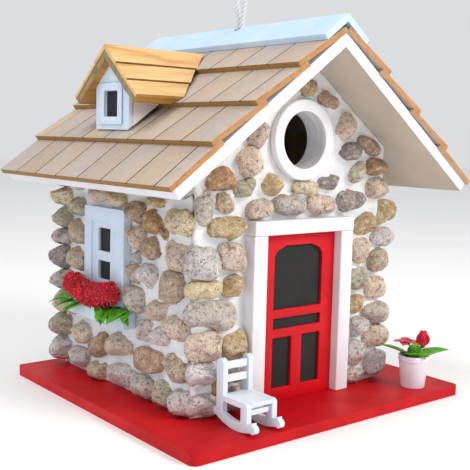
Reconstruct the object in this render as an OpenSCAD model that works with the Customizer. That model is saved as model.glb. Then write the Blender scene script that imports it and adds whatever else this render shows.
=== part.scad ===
// Stone cottage birdhouse on a porch board: plywood box, mortar coat, cobbles,
// shingled gable roof with a dormer, door, window and small porch ornaments.
// Origin: centre of the underside of the base board. +Z up, the door faces -Y.

/* [Base] */
// Width of the base board
base_w = 202; // [180:1:230]
// Depth of the base board
base_d = 190; // [190:1:200]
// Thickness of the base board
base_t = 6; // [5:0.5:8]

/* [House] */
// Half the width over the plywood side walls
wall_hw = 68; // [66:1:70]
// Thickness of the plywood walls
wall_t = 8; // [6:0.5:9]
// Outer face of the front wall
front_y = -50; // [-52:1:-48]
// Outer face of the rear wall
rear_y = 84; // [82:1:84]
// Thickness of the mortar coat on the walls
mortar_t = 3.5; // [3:0.5:4]

/* [Roof] */
// Height of the ridge of the roof deck
ridge_z = 209.5; // [205:0.5:214]
// Slope of the roof in degrees
pitch = 36.5; // [35:0.5:38]
// Thickness of the roof boards
deck_t = 6.2; // [5:0.2:7]
// Half the width of the roof boards
eave_x = 108.3; // [106:0.1:110]
// Front end of the roof boards
deck_front_y = -85.7; // [-88:0.1:-84]
// Rear end of the roof boards
deck_rear_y = 93.5; // [92:0.1:94]
// Thickness of a shingle course
shingle_t = 3; // [2.5:0.1:3.2]
// Width of one scored shingle
shingle_w = 24.4; // [22:0.1:28]

/* [Entrance] */
// Height of the entrance hole's centre
entrance_z = 153; // [150:1:155]
// Diameter of the entrance hole
entrance_d = 32; // [28:1:34]
// Outer diameter of the entrance ring
ring_d = 45; // [42:1:47]

/* [Clean-out] */
// Width of the clean-out opening
cleanout_w = 50; // [40:1:56]
// Height of the clean-out opening
cleanout_h = 58; // [40:1:60]

/* [Hidden] */

$fn = 48;
eps = 0.01;
slope = tan(pitch);
rise = cos(pitch);
slope_len = eave_x / rise;
inner_front_y = front_y + wall_t;
inner_rear_y = rear_y - wall_t;
mortar_hw = wall_hw + 4;
mortar_front_y = front_y - mortar_t;
mortar_rear_y = rear_y + mortar_t;
far = 400;

// Height of the roof slope at x, a distance off above the top of the roof boards
function roof_z(x, off) = ridge_z - abs(x) * slope + off / rise;

// ---------------------------------------------------------------- helpers

// Plate in the XZ plane, from y0 to y1
module xz_plate(y0, y1) { translate([0, y1, 0]) rotate([90, 0, 0]) linear_extrude(y1 - y0) children(); }

// Plate in the YZ plane, from x0 to x1, drawn as [y, z]
module yz_plate(x0, x1) {
  translate([x0, 0, 0]) rotate([90, 0, 90]) linear_extrude(x1 - x0) children();
}

// Box from its lowest corner to its highest corner
module span(a, b) { translate(a) cube(b - a); }

// Places children drawn as [along slope, y, off] on the left or right roof slope
module on_slope(side) {
  mirror([side > 0 ? 1 : 0, 0, 0])
    translate([-eave_x, 0, ridge_z - eave_x * slope]) rotate([0, -pitch, 0]) children();
}

// Gable outline under the roof boards, between -hw and hw, from the base upward
module gable(hw) {
  polygon([[-hw, base_t], [hw, base_t], [hw, roof_z(hw, -deck_t)], [0, roof_z(0, -deck_t)],
    [-hw, roof_z(hw, -deck_t)]]);
}

// Side wall outline between x0 and x1 under the roof boards
module side_profile(x0, x1) {
  polygon([[x0, base_t], [x1, base_t], [x1, roof_z(x1, -deck_t)], [x0, roof_z(x0, -deck_t)]]);
}

// ---------------------------------------------------------------- base

screw_d = 3;
screw_head_d = 6;
screw_head_h = 1.6;
screw_len = 22;
base_screw_xy = [[-64, -20], [-64, 55], [64, -20], [64, 55], [-30, -46], [30, -46], [-44, 80], [44, 80]];
drain_d = 6;
drain_xy = [[-45, -28], [45, -28], [-45, 62], [45, 62]];
corner_r = 4;

module base_board() {
  color("crimson") difference() {
    union() {
      span([-base_w / 2 + corner_r, -base_d / 2, 0], [base_w / 2 - corner_r, base_d / 2, base_t]);
      span([-base_w / 2, -base_d / 2 + corner_r, 0], [base_w / 2, base_d / 2 - corner_r, base_t]);
      for (x = [-1, 1], y = [-1, 1])
        translate([x * (base_w / 2 - corner_r), y * (base_d / 2 - corner_r), 0])
          cylinder(r = corner_r, h = base_t);
    }
    for (p = base_screw_xy) translate([p[0], p[1], 0]) base_screw(1);
    for (p = drain_xy) translate([p[0], p[1], -1]) cylinder(d = drain_d, h = base_t + 2);
  }
}

// Countersunk screw standing on its head; extra lengthens it to cut a hole
module base_screw(extra) {
  translate([0, 0, -extra * eps])
    cylinder(d1 = screw_head_d + 0.6 * extra, d2 = screw_d + 0.6 * extra, h = screw_head_h);
  cylinder(d = screw_d + 0.2 * extra, h = screw_len);
}

module base_screws() {
  color("silver") for (p = base_screw_xy) translate([p[0], p[1], 0.1]) difference() {
    base_screw(0);
    for (a = [0, 90]) rotate(a) translate([-1.5, -0.3, -1]) cube([3, 0.6, 1.8]);
  }
}

module base_pilot_holes() {
  for (p = base_screw_xy) translate([p[0], p[1], 0]) cylinder(d = screw_d + 0.2, h = screw_len + 0.1);
}

// ---------------------------------------------------------------- walls

module front_wall() {
  color("burlywood") difference() {
    xz_plate(front_y, inner_front_y) gable(wall_hw);
    translate([0, inner_front_y + 1, entrance_z]) rotate([90, 0, 0])
      cylinder(d = entrance_d, h = wall_t + 2);
    base_pilot_holes();
  }
}

module side_wall(side) {
  mirror([side > 0 ? 1 : 0, 0, 0]) xz_plate(inner_front_y, inner_rear_y)
    side_profile(-wall_hw, -wall_hw + wall_t);
}

module left_wall() { color("burlywood") difference() { side_wall(-1); base_pilot_holes(); } }
module right_wall() { color("burlywood") difference() { side_wall(1); base_pilot_holes(); } }

cleanout_z = base_t + 10;
panel_lap = 6;
panel_t = 5;
panel_gap = 0.4;
panel_top = cleanout_z + cleanout_h + panel_lap;
panel_bottom = cleanout_z - panel_lap;
panel_hw = cleanout_w / 2 + panel_lap;
lock_x = panel_hw - panel_lap / 2;
lock_z = (panel_top + panel_bottom) / 2;
lock_d = 2.4;
lock_gap = 0.05;
lock_len = 10;
lock_head_d = 5.2;
lock_head_h = 1.8;

module rear_wall() {
  color("burlywood") difference() {
    xz_plate(inner_rear_y, rear_y) gable(wall_hw);
    span([-cleanout_w / 2, inner_rear_y - 1, cleanout_z],
      [cleanout_w / 2, rear_y + 1, cleanout_z + cleanout_h]);
    for (s = [-1, 1]) translate([s * lock_x, rear_y + 1, lock_z]) rotate([90, 0, 0])
      cylinder(r = lock_d / 2 + lock_gap, h = lock_len);
    base_pilot_holes();
  }
}

// ---------------------------------------------------------------- mortar

header_hw = 37.8;
header_top = 109.4;
header_bottom = 101.4;
ring_t = 4;

module front_mortar() {
  color("whitesmoke") difference() {
    xz_plate(mortar_front_y, front_y) gable(mortar_hw);
    span([-header_hw, mortar_front_y - 1, 0], [header_hw, front_y + 1, header_top]);
    translate([0, front_y + 1, entrance_z]) rotate([90, 0, 0])
      cylinder(d = entrance_d, h = mortar_t + 2);
  }
}

module side_mortar(side) {
  mirror([side > 0 ? 1 : 0, 0, 0]) xz_plate(front_y, rear_y)
    side_profile(-mortar_hw, -wall_hw);
}

module left_mortar() { color("whitesmoke") side_mortar(-1); }
module right_mortar() { color("whitesmoke") side_mortar(1); }

module rear_mortar() {
  color("whitesmoke") difference() {
    xz_plate(rear_y, mortar_rear_y) gable(mortar_hw);
    span([-panel_hw - panel_gap, rear_y - 1, panel_bottom - panel_gap],
      [panel_hw + panel_gap, mortar_rear_y + 1, panel_top + panel_gap]);
  }
}

// ---------------------------------------------------------------- stones

stone_sides = 8;
stone_depth = 6.6;
// Outline scale and height of each ring of a cobble, from the mortar outward
stone_rings = [[0.86, 0], [1, 0.35], [0.72, 0.9]];

// Small repeatable wobble for the corner number i of stone number k
function wobble(i, k) = 0.98 + 0.05 * sin(137 * i + 71 * k) + 0.03 * cos(59 * i * k + 23);

// Outline point number i of an oval w by h
function outline(i, w, h, k) = let (a = 90 * floor(i / 2) + (i % 2 == 0 ? 28 : 62), r = wobble(i, k),
  m = pow(pow(abs(cos(a)), 2.6) + pow(abs(sin(a)), 2.6), -1 / 2.6))
  [w / 2 * m * r * cos(a), h / 2 * m * r * sin(a)];

// One cobble lying on the XY plane, w by h and deep along +Z
module cobble(w, h, k) {
  d = min(stone_depth, 2.4 + 0.36 * min(w, h));
  n = stone_sides;
  points = [for (ring = stone_rings, i = [0:n - 1]) let (p = outline(i, w, h, k) * ring[0])
    [p[0], p[1], d * ring[1]], [0, 0, d]];
  faces = [[for (i = [0:n - 1]) i],
    for (ring = [0:1], i = [0:n - 1]) let (a = ring * n + i, b = ring * n + (i + 1) % n)
      each [[a, a + n, b], [b, a + n, b + n]],
    for (i = [0:n - 1]) [2 * n + i, 3 * n, 2 * n + (i + 1) % n]];
  polyhedron(points = points, faces = faces);
}

// Cobbles from a list of [u, z, width, height, tilt], on the face turned by spin
module lay(list, spin, face) {
  rotate([0, 0, spin]) for (k = [0:len(list) - 1]) let (s = list[k])
    translate([s[0], -face, s[1]]) rotate([90, 0, 0]) rotate([0, 0, s[4]])
      cobble(s[2] * stone_fit, s[3] * stone_fit, k);
}

stone_fit = 0.96;

// Front face, [x, z, width, height, tilt]
front_list = [
  [-67, 88, 20, 17, -20], [-48, 91, 19, 14, -15], [-66, 74.5, 23, 10, 0], [-47, 75, 15, 11, 8],
  [-61, 60.5, 32, 15, -8], [-65, 44.5, 23, 15, 0], [-46, 43, 16, 16, 10], [-67, 30, 17, 12, 0],
  [-55, 23, 9, 13, 0], [-66, 12.5, 17, 12, 0], [-52, 105.5, 24, 12.5, -5], [-67, 117, 10, 17, 0],
  [-54.5, 119.5, 13, 9, -25], [-58, 132, 17, 12, 0], [-41, 127, 17, 9, 12], [-38, 141, 15, 15, 35],
  [-32, 154.5, 15, 11, 35], [-24, 170, 9, 5, 35], [-23, 127.5, 12, 13, -35],
  [-31, 115.5, 17, 10, 10], [-9, 117, 23, 11, -5], [4, 126, 21, 8, 0], [3, 182, 11, 9, 0],
  [19, 176, 15, 8, -20], [34, 161, 12, 15, -8], [53.5, 150.5, 19, 9, -20], [38, 147, 15, 10, 10],
  [45, 135, 14, 9, 40], [60.5, 138, 15, 10, 0], [62, 125, 17, 12, 0], [22, 129, 16, 8, 0],
  [16, 116.5, 21, 11, -10], [40, 119, 22, 12, 12], [70, 111, 15, 14, 0], [53, 103.5, 17, 12, 20],
  [69, 95.5, 19, 11, -10], [50, 88, 13, 15, 0], [66, 81, 17, 13, 0], [49, 71, 13, 13, 0],
  [64, 64, 19, 13, 0], [48, 55, 14, 11, 0], [66, 49, 20, 13, -12], [50, 41, 15, 12, 0],
  [66, 33, 19, 14, 5], [49, 25, 14, 15, -20], [68, 16, 19, 15, -5], [50, 11, 15, 10, 0],
  [-46, 13, 13, 13, 0], [-46, 28, 11, 11, 0]];

// Left face, [distance towards the front from the wall's middle line, z, width, height, tilt]
left_list = [
  [2, 97, 16, 12, 0], [1.5, 110.5, 16, 13, 0], [19.5, 107, 15, 12, 0], [19, 117.5, 20, 5, 0],
  [42, 109, 20, 14, 0], [29.6, 101.5, 5, 6, 0], [17.5, 92.5, 15, 11, 15], [40, 91, 20, 15, 0],
  [36, 74, 21, 17, 15], [14, 77, 17, 13, 0], [-0.5, 76, 12, 11, 0], [2.5, 86, 7, 7, 0],
  [1, 61.5, 16, 15, 0], [22, 59, 23, 10, 10], [41.5, 53, 18, 12, 0], [26, 46, 15, 10, 0],
  [11, 46, 13, 11, 10], [15, 29.5, 27, 13, 5], [42, 31, 20, 14, 0], [-15, 32, 23, 13, 8],
  [-13, 15, 30, 12, 8], [12, 14, 19, 12, 0], [31, 14.5, 14, 13, 0], [46, 13.5, 13, 13, 0],
  [-38, 27, 20, 14, 15], [-39, 11, 22, 10, 5], [-62, 15, 19, 12, 0], [-61, 31, 20, 14, 0],
  [-70, 46, 8, 11, 0], [-65, 76, 18, 14, 0], [-65, 61, 17, 11, 0], [-64, 93, 17, 16, 0],
  [-82.5, 88.5, 15, 10, 0], [-82.5, 101, 15, 13, 0], [-64, 109, 16, 11, 0], [-82.5, 75.5, 14, 14, 0],
  [-82.5, 61.5, 15, 12, 0], [-82.5, 47.5, 14, 14, 0], [-82.5, 32.5, 16, 14, 0],
  [-82.5, 16.5, 15, 15, 0], [-82.5, 114, 15, 11, 0],
  [-20, 117, 18, 9, 0], [-42, 118, 18, 8, 0], [4, 128, 19, 11, 0], [42, 128, 18, 13, 0],
  [23, 130, 17, 10, 0], [-18, 132, 20, 12, 0], [-41, 132, 19, 12, 0], [-63, 126, 18, 13, 0],
  [-82.5, 127, 14, 13, 0]];

// Rule for the cobbles of the unseen faces: rows of row_h with widths in a repeating order
row_h = 15.4;
row_widths = [18, 14, 21, 16, 12, 19];
function row_sum(n, k) = n <= 0 ? 0 : row_widths[(n - 1 + k) % len(row_widths)] + row_sum(n - 1, k);
function row_stones(from, to, z, k) = [for (n = [0:12]) let (w = row_widths[(n + k) % len(row_widths)],
  a = from + row_sum(n, k)) if (a + w <= to + 3)
  [a + w / 2, z + 1.2 * sin(97 * n + 31 * k), w, row_h - 1 - 1.5 * abs(sin(61 * n + 17 * k)),
    9 * sin(73 * n + 41 * k)]];
function rows(from, to, count) = [for (k = [0:count - 1]) each
  row_stones(from + (k % 2 == 0 ? 0 : 3), to, base_t + row_h / 2 + 0.3 + k * row_h, k)];

right_list = [for (s = rows(-50, 82, 8)) if (s[1] < 130) s];

function clear_of_panel(s) = abs(s[0]) - s[2] / 2 > panel_hw + 1 || s[1] - s[3] / 2 > panel_top + 1;
rear_list = [for (s = rows(-71, 68.5, 12))
  if (clear_of_panel(s) && s[1] + s[3] / 2 + 3 < roof_z(abs(s[0]) + s[2] / 2, -deck_t)) s];

module front_stones() { color("tan") lay(front_list, 0, -mortar_front_y); }
module left_stones() { color("tan") lay(left_list, -90, mortar_hw); }
module right_stones() { color("tan") lay(right_list, 90, mortar_hw); }
module rear_stones() { color("tan") lay(rear_list, 180, mortar_rear_y); }

// ---------------------------------------------------------------- entrance ring

ring_edge_r = 1;

module entrance_ring() {
  color("white") translate([0, mortar_front_y, entrance_z]) rotate([90, 0, 0]) difference() {
    union() {
      cylinder(d = ring_d, h = ring_t - ring_edge_r);
      cylinder(d = ring_d - 2 * ring_edge_r, h = ring_t);
      translate([0, 0, ring_t - ring_edge_r]) rotate_extrude()
        translate([ring_d / 2 - ring_edge_r, 0]) circle(r = ring_edge_r);
    }
    translate([0, 0, -1]) cylinder(d = entrance_d, h = ring_t + 2);
  }
}

// ---------------------------------------------------------------- door

header_y = -61.5;
jamb_y = -61;
jamb_w = 9.7;
door_y = -55.5;
door_t = 2;
door_hw = header_hw - jamb_w;
door_pane_hw = 18.3;
upper_pane = [58.5, 94.5];
slot_pane = [47.5, 53.5];
lower_pane = [13.5, 42.5];
stile_hw = 4;
pane_corner_w = 8.5;
pane_corner_h = 5.5;

module door_header() {
  color("white") span([-header_hw, header_y, header_bottom], [header_hw, front_y, header_top]);
}

module jamb(side) {
  x0 = side > 0 ? door_hw : -header_hw;
  span([x0, jamb_y, base_t], [x0 + jamb_w, front_y, header_bottom]);
}

module door_left_jamb() { color("white") jamb(-1); }
module door_right_jamb() { color("white") jamb(1); }

module upper_cutout() {
  difference() {
    translate([-door_pane_hw, upper_pane[0]]) square([2 * door_pane_hw, upper_pane[1] - upper_pane[0]]);
    for (s = [-1, 1]) polygon([[s * door_pane_hw, upper_pane[1]],
      [s * (door_pane_hw - pane_corner_w), upper_pane[1]],
      [s * (door_pane_hw - 2.4), upper_pane[1] - 2.4], [s * door_pane_hw, upper_pane[1] - pane_corner_h]]);
  }
}

module door_panel() {
  color("red") xz_plate(door_y, door_y + door_t) difference() {
    translate([-door_hw, base_t]) square([2 * door_hw, header_bottom - base_t]);
    upper_cutout();
    translate([-door_pane_hw, slot_pane[0]]) square([2 * door_pane_hw, slot_pane[1] - slot_pane[0]]);
    for (s = [-1, 1]) translate([s * (door_pane_hw + stile_hw) / 2, (lower_pane[0] + lower_pane[1]) / 2])
      square([door_pane_hw - stile_hw, lower_pane[1] - lower_pane[0]], center = true);
  }
}

module door_screen() {
  color([0.15, 0.15, 0.15]) span([-door_hw, door_y + door_t, base_t], [door_hw, front_y, header_bottom]);
}

// ---------------------------------------------------------------- window

window_y = 30;
window_top = 111;
window_bottom = 54;
window_hw = 22.5;
frame_w = 8.5;
frame_x = -77;
sash_x = -76.2;
glass_hw = 6.8;
glass_bottom = 68.5;
glass_top = 99;
pane_x = -74.2;
mid_rail_z = 82.4;
mid_rail_h = 5.6;

module window_plate(x0, x1, margin) {
  span([x0, window_y - window_hw + margin, window_bottom + margin],
    [x1, window_y + window_hw - margin, window_top - margin]);
}

module window_frame() {
  color("lightcyan") difference() {
    window_plate(frame_x, -mortar_hw, 0);
    window_plate(frame_x - 1, -mortar_hw + 1, frame_w);
  }
}

module window_sash() {
  color("lightcyan") difference() {
    window_plate(sash_x, pane_x, frame_w);
    difference() {
      span([sash_x - 1, window_y - glass_hw, glass_bottom], [pane_x + 1, window_y + glass_hw, glass_top]);
      span([-far, -far, mid_rail_z - mid_rail_h / 2], [far, far, mid_rail_z + mid_rail_h / 2]);
    }
  }
}

module window_pane() { color([0.1, 0.1, 0.12]) window_plate(pane_x, -mortar_hw, frame_w); }

box_y0 = 1;
box_y1 = 65;
box_z0 = 44;
box_z1 = 53.5;
box_depth = 9;
box_wall = 1.8;

module window_box() {
  color("lightcyan") difference() {
    span([-mortar_hw - box_depth, box_y0, box_z0], [-mortar_hw, box_y1, box_z1]);
    span([-mortar_hw - box_depth + box_wall, box_y0 + box_wall, box_z0 + box_wall],
      [-mortar_hw - box_wall, box_y1 - box_wall, box_z1 + 1]);
  }
}

plant_x = -mortar_hw - 9.25;
plant_back_x = -78;

// Foliage: one low mound that fills the box and stands over its rim
module window_leaves() {
  color("limegreen") {
    span([-mortar_hw - box_depth + box_wall, box_y0 + box_wall, box_z0 + box_wall],
      [-mortar_hw - box_wall, box_y1 - box_wall, box_z1]);
    span([-87, 4, box_z1], [plant_back_x, 62, 56]);
  }
}

// Blooms: round heads in a drooping row over the foliage
bloom_list = [[52, 62, 7], [43, 60, 7.5], [33, 59, 7.5], [22, 60.5, 8], [12, 61.5, 7.5]];

module window_flowers() {
  color("crimson") difference() {
    for (b = bloom_list) translate([plant_x, b[0], b[1]]) sphere(r = b[2]);
    span([-far, -far, 0], [far, far, 56]);
    span([plant_back_x, -far, 0], [far, far, far]);
  }
}

// ---------------------------------------------------------------- roof

rope_y = 2.5;
rope_hole_d = 7;

module rope_hole() { translate([0, rope_y, ridge_z - 40]) cylinder(d = rope_hole_d, h = 80); }

module roof_board(side) {
  difference() {
    mirror([side > 0 ? 1 : 0, 0, 0]) xz_plate(deck_front_y, deck_rear_y)
      polygon([[0, ridge_z], [-eave_x, ridge_z - eave_x * slope],
        [-eave_x + deck_t * sin(pitch), ridge_z - eave_x * slope - deck_t * rise],
        [0, roof_z(0, -deck_t)]]);
    rope_hole();
  }
}

module left_roof_board() { color("white") roof_board(-1); }
module right_roof_board() { color("white") roof_board(1); }

shingle_front_y = -87;
shingle_rear_y = 95;
butts = [-2, 29, 62, 96];
score_w = 0.7;
score_t = 0.9;
score_first_y = -75;
cap_start = 120;
head_lap = 6;

// Where course c ends up the slope, and how high its butt rides on the course below
function head(c) = c < 3 ? butts[c + 1] + head_lap : slope_len;
function lift(c) = c == 0 ? 0 : top_at(c - 1, butts[c]);
// Height of the top of course c at distance s along the slope
function top_at(c, s) = shingle_t + (c == 0 ? 0 : lift(c) * (head(c) - s) / (head(c) - butts[c]));

module course_profile(c) {
  polygon([[butts[c], lift(c)], [head(c), 0], [head(c), shingle_t], [butts[c], lift(c) + shingle_t]]);
}

// One scored course of shingles, with its lap over the course below
module shingle_course(side, c) {
  difference() {
    on_slope(side) translate([0, shingle_rear_y, 0]) rotate([90, 0, 0])
      linear_extrude(shingle_rear_y - shingle_front_y) difference() {
        course_profile(c);
        if (c > 0) course_profile(c - 1);
        if (c > 0) translate([-far, -far]) square([far + butts[c], 2 * far]);
      }
    on_slope(side) for (k = [0:7]) {
      y = score_first_y + (c % 2) * shingle_w / 2 + k * shingle_w;
      lean = c == 0 ? 0 : atan(lift(c) / (head(c) - butts[c]));
      translate([butts[c], y - score_w / 2, lift(c) + shingle_t - score_t]) rotate([0, lean, 0])
        translate([-5, 0, 0]) cube([60, score_w, 5]);
    }
    if (c == 3) {
      span([side > 0 ? -far : 0, -far, 0], [side > 0 ? 0 : far, far, far]);
      rope_hole();
    }
  }
}

module left_shingles_1() { color("tan") shingle_course(-1, 0); }
module left_shingles_2() { color("tan") shingle_course(-1, 1); }
module left_shingles_3() { color("tan") shingle_course(-1, 2); }
module left_shingles_4() { color("tan") shingle_course(-1, 3); }
module right_shingles_1() { color("tan") shingle_course(1, 0); }
module right_shingles_2() { color("tan") shingle_course(1, 1); }
module right_shingles_3() { color("tan") shingle_course(1, 2); }
module right_shingles_4() { color("tan") shingle_course(1, 3); }

cap_front_y = -86.5;
cap_rear_y = 91.5;
cap_t = 3.5;
cap_off = top_at(3, cap_start);

module ridge_cap(side) {
  difference() {
    mirror([side > 0 ? 1 : 0, 0, 0]) difference() {
      translate([-eave_x, 0, ridge_z - eave_x * slope]) rotate([0, -pitch, 0])
        span([cap_start, cap_front_y, cap_off], [slope_len + 10, cap_rear_y, cap_off + cap_t]);
      span([0, -far, 0], [far, far, far]);
    }
    rope_hole();
  }
}

module left_ridge_cap() { color("aliceblue") ridge_cap(-1); }
module right_ridge_cap() { color("aliceblue") ridge_cap(1); }

// ---------------------------------------------------------------- rope

rope_d = 3;
knot_r = 4.5;
knot_z = roof_z(0, -deck_t) - knot_r / rise - 0.05;
// Route of the rope: up from the knot, over the loop and down again
rope_up = [[0.9, 199], [0.9, 204], [0.9, 209], [0.9, 214], [0.9, 219], [0.6, 223], [-0.2, 228],
  [-1.3, 234], [-2.6, 240], [-4, 246], [-5, 251], [-5.2, 256], [-4.2, 260.5], [-1.4, 264]];
rope_top = [2.5, 265.5];
rope_route = concat([for (p = rope_up) [0, p[0], p[1]]], [[0, rope_top[0], rope_top[1]]],
  [for (i = [len(rope_up) - 1:-1:0]) [0, 2 * rope_y - rope_up[i][0], rope_up[i][1]]]);

// Tube along a route in the YZ plane
module tube(route, d, sides) {
  last = len(route) - 1;
  function way(i) = let (v = route[min(i + 1, last)] - route[max(i - 1, 0)]) v / norm(v);
  points = [for (i = [0:last], j = [0:sides - 1]) let (a = 360 * j / sides, t = way(i))
    route[i] + d / 2 * (cos(a) * [1, 0, 0] + sin(a) * [0, t[2], -t[1]])];
  faces = [[for (j = [0:sides - 1]) j], [for (j = [sides - 1:-1:0]) last * sides + j],
    for (i = [0:last - 1], j = [0:sides - 1]) let (a = i * sides + j, b = i * sides + (j + 1) % sides)
      each [[a, a + sides, b], [b, a + sides, b + sides]]];
  polyhedron(points = points, faces = faces);
}

module hanging_rope() { color("white") tube(rope_route, rope_d, 8); }
module rope_knot() { color("white") translate([0, rope_y, knot_z]) sphere(r = knot_r); }

// ---------------------------------------------------------------- dormer

dormer_y = 11;
dormer_x = -83;
dormer_hw = 17.5;
dormer_front_t = 3;
dormer_ridge_z = 202.3;
dormer_pitch = 39.5;
dormer_roof_hw = 33.5;
dormer_overhang_x = -88.2;
dormer_deck_t = 4;
dormer_board_t = 2.2;
dormer_off = lift(2) + shingle_t;
dormer_slope = tan(dormer_pitch);
dormer_rise = cos(dormer_pitch);

// Height of the dormer roof at a distance u from its ridge, off above its outer face
function dormer_z(u, off) = dormer_ridge_z - abs(u) * dormer_slope + off / dormer_rise;

// Point off the outer face at u, measured square to the slope
function eave_point(u, off) = let (v = u + off * sin(dormer_pitch)) [v, dormer_z(v, off)];

// Everything above the shingles, on the left slope
module above_shingles() {
  difference() {
    children();
    on_slope(-1) span([-50, -far, -far], [slope_len + 60, far, dormer_off]);
  }
}

// Half of a gable in the YZ plane between two heights over the dormer roof, u from u0 to u1
module dormer_band(side, x0, x1, u0, u1, off0, off1) {
  yz_plate(x0, x1) translate([dormer_y, 0]) mirror([side > 0 ? 0 : 1, 0])
    polygon([[u0, dormer_z(u0, off0)], eave_point(u1, off0), eave_point(u1, off1),
      [u0, dormer_z(u0, off1)]]);
}

dormer_in_off = -dormer_board_t - dormer_deck_t;

module dormer_gable(x0, x1) {
  yz_plate(x0, x1) translate([dormer_y, 0])
    polygon([[-dormer_hw, 140], [dormer_hw, 140], [dormer_hw, dormer_z(dormer_hw, dormer_in_off)],
      [0, dormer_z(0, dormer_in_off)], [-dormer_hw, dormer_z(dormer_hw, dormer_in_off)]]);
}

dormer_pane_hw = 7;
dormer_pane_z = [163.3, 177.3];
dormer_frame_w = 4.6;
dormer_frame_t = 1.2;
dormer_pane_in = 1;

module dormer_pane_cut(margin) {
  span([dormer_x - 5, dormer_y - dormer_pane_hw - margin, dormer_pane_z[0] - margin],
    [dormer_x + 5, dormer_y + dormer_pane_hw + margin, dormer_pane_z[1] + margin]);
}

module dormer_front() {
  color("aliceblue") above_shingles() difference() {
    dormer_gable(dormer_x, dormer_x + dormer_front_t);
    dormer_pane_cut(0);
  }
}

module dormer_cheek(side) {
  cheek_t = 3;
  above_shingles() intersection() {
    dormer_gable(dormer_x + dormer_front_t, -30);
    span([-far, side > 0 ? dormer_y + dormer_hw - cheek_t : dormer_y - dormer_hw, 0],
      [far, side > 0 ? dormer_y + dormer_hw : dormer_y - dormer_hw + cheek_t, far]);
  }
}

module dormer_left_cheek() { color("mistyrose") dormer_cheek(1); }
module dormer_right_cheek() { color("mistyrose") dormer_cheek(-1); }

module dormer_window_frame() {
  color("aliceblue") difference() {
    intersection() {
      dormer_pane_cut(dormer_frame_w);
      span([dormer_x - dormer_frame_t, -far, 0], [dormer_x, far, far]);
    }
    dormer_pane_cut(0);
  }
}

module dormer_pane() {
  color([0.1, 0.1, 0.15]) intersection() {
    dormer_pane_cut(0);
    span([dormer_x + dormer_pane_in, -far, 0], [dormer_x + dormer_front_t, far, far]);
  }
}

module dormer_roof(side) {
  above_shingles() dormer_band(side, dormer_overhang_x + 0.4, -10, 0, dormer_roof_hw - 0.5,
    dormer_in_off, -dormer_board_t);
}

module dormer_left_roof() { color("goldenrod") dormer_roof(1); }
module dormer_right_roof() { color("goldenrod") dormer_roof(-1); }

// Three lapped boards on each side of the dormer roof
lap_u = [0, 12, 23.2, 33.5];
lap_thin = 0.7;

module dormer_boards() {
  color("sandybrown") above_shingles() for (side = [-1, 1], k = [0:2])
    yz_plate(dormer_overhang_x, -10) translate([dormer_y, 0]) mirror([side > 0 ? 0 : 1, 0])
      polygon([[lap_u[k], dormer_z(lap_u[k], -dormer_board_t)],
        k < 2 ? [lap_u[k + 1] - 0.05, dormer_z(lap_u[k + 1] - 0.05, -dormer_board_t)]
          : eave_point(dormer_roof_hw, -dormer_board_t),
        [lap_u[k + 1] - 0.05, dormer_z(lap_u[k + 1] - 0.05, 0)],
        [lap_u[k], dormer_z(lap_u[k], k == 0 ? 0 : -lap_thin)]]);
}

// ---------------------------------------------------------------- rocking chair

chair_x = -53.5;
chair_w = 20;
chair_side_t = 3;
chair_rear_y = -63.5;
chair_front_y = -88.5;
rocker_r = 34;
rocker_w = 4.4;
rocker_y = -80;
// Centres of the rocker's rounded tips, in Y and Z
rocker_front = [-92.6, 9.7];
rocker_rear = [-63, 12.2];
seat_z = 21.5;
seat_t = 2.2;
post_w = 5.6;
post_top = 40.5;
leg_w = 5;

// Side of the chair in the YZ plane, sawn from one board
module chair_profile() {
  rocker_z = base_t + rocker_r;
  intersection() {
    translate([rocker_y, rocker_z]) difference() {
      circle(r = rocker_r, $fn = 96);
      circle(r = rocker_r - rocker_w, $fn = 96);
    }
    translate([rocker_front[0], 0]) square([rocker_rear[0] - rocker_front[0], 14]);
  }
  for (tip = [rocker_front, rocker_rear]) translate(tip) circle(r = rocker_w / 2);
  translate([chair_rear_y - post_w, 10]) square([post_w, post_top - 10 - post_w / 2]);
  translate([chair_rear_y - post_w / 2, post_top - post_w / 2]) circle(r = post_w / 2);
  translate([chair_rear_y - post_w, 10.5]) square([post_w - 0.8, 11]);
  translate([chair_front_y, 8.5]) square([leg_w, 11]);
  difference() {
    translate([chair_front_y, 18.6]) square([chair_rear_y - chair_front_y, seat_z - 18.6]);
    translate([chair_front_y - 1, seat_z - 2]) square([3, 3]);
  }
  translate([chair_front_y + 2, seat_z - 2]) circle(r = 2);
}

module chair_side(side) {
  x0 = chair_x + (side > 0 ? chair_w / 2 - chair_side_t : -chair_w / 2);
  yz_plate(x0, x0 + chair_side_t) chair_profile();
}

module chair_left_side() { color("white") chair_side(-1); }
module chair_right_side() { color("white") chair_side(1); }

chair_in_hw = chair_w / 2 - chair_side_t;

module chair_seat() {
  color("white") span([chair_x - chair_in_hw, chair_front_y, seat_z - seat_t],
    [chair_x + chair_in_hw, chair_rear_y - 3, seat_z]);
}

rail_z = [[34.5, 38.5], [27.5, 31.5], [14.6, 17.6]];
rail_y = [-68, -68, -86.5];

// Two back rails and the stretcher under the seat
module chair_rails() {
  color("white") for (k = [0:2])
    span([chair_x - chair_in_hw, rail_y[k], rail_z[k][0]],
      [chair_x + chair_in_hw, rail_y[k] + 1.8, rail_z[k][1]]);
}

// ---------------------------------------------------------------- flower pot

pot_pos = [75, -80, base_t];
pot_h = 19.5;
pot_r = 7.1;
pot_rim_r = 9.2;
pot_wall = 1.2;
soil_z = 17;

module flower_pot() {
  color("white") translate(pot_pos) rotate_extrude()
    polygon([[0, 0], [pot_r, 0], [pot_rim_r - 0.4, pot_h - 3.5], [pot_rim_r, pot_h - 3.2],
      [pot_rim_r, pot_h], [pot_rim_r - pot_wall, pot_h], [pot_r - pot_wall, 2], [0, 2]]);
}

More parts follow.
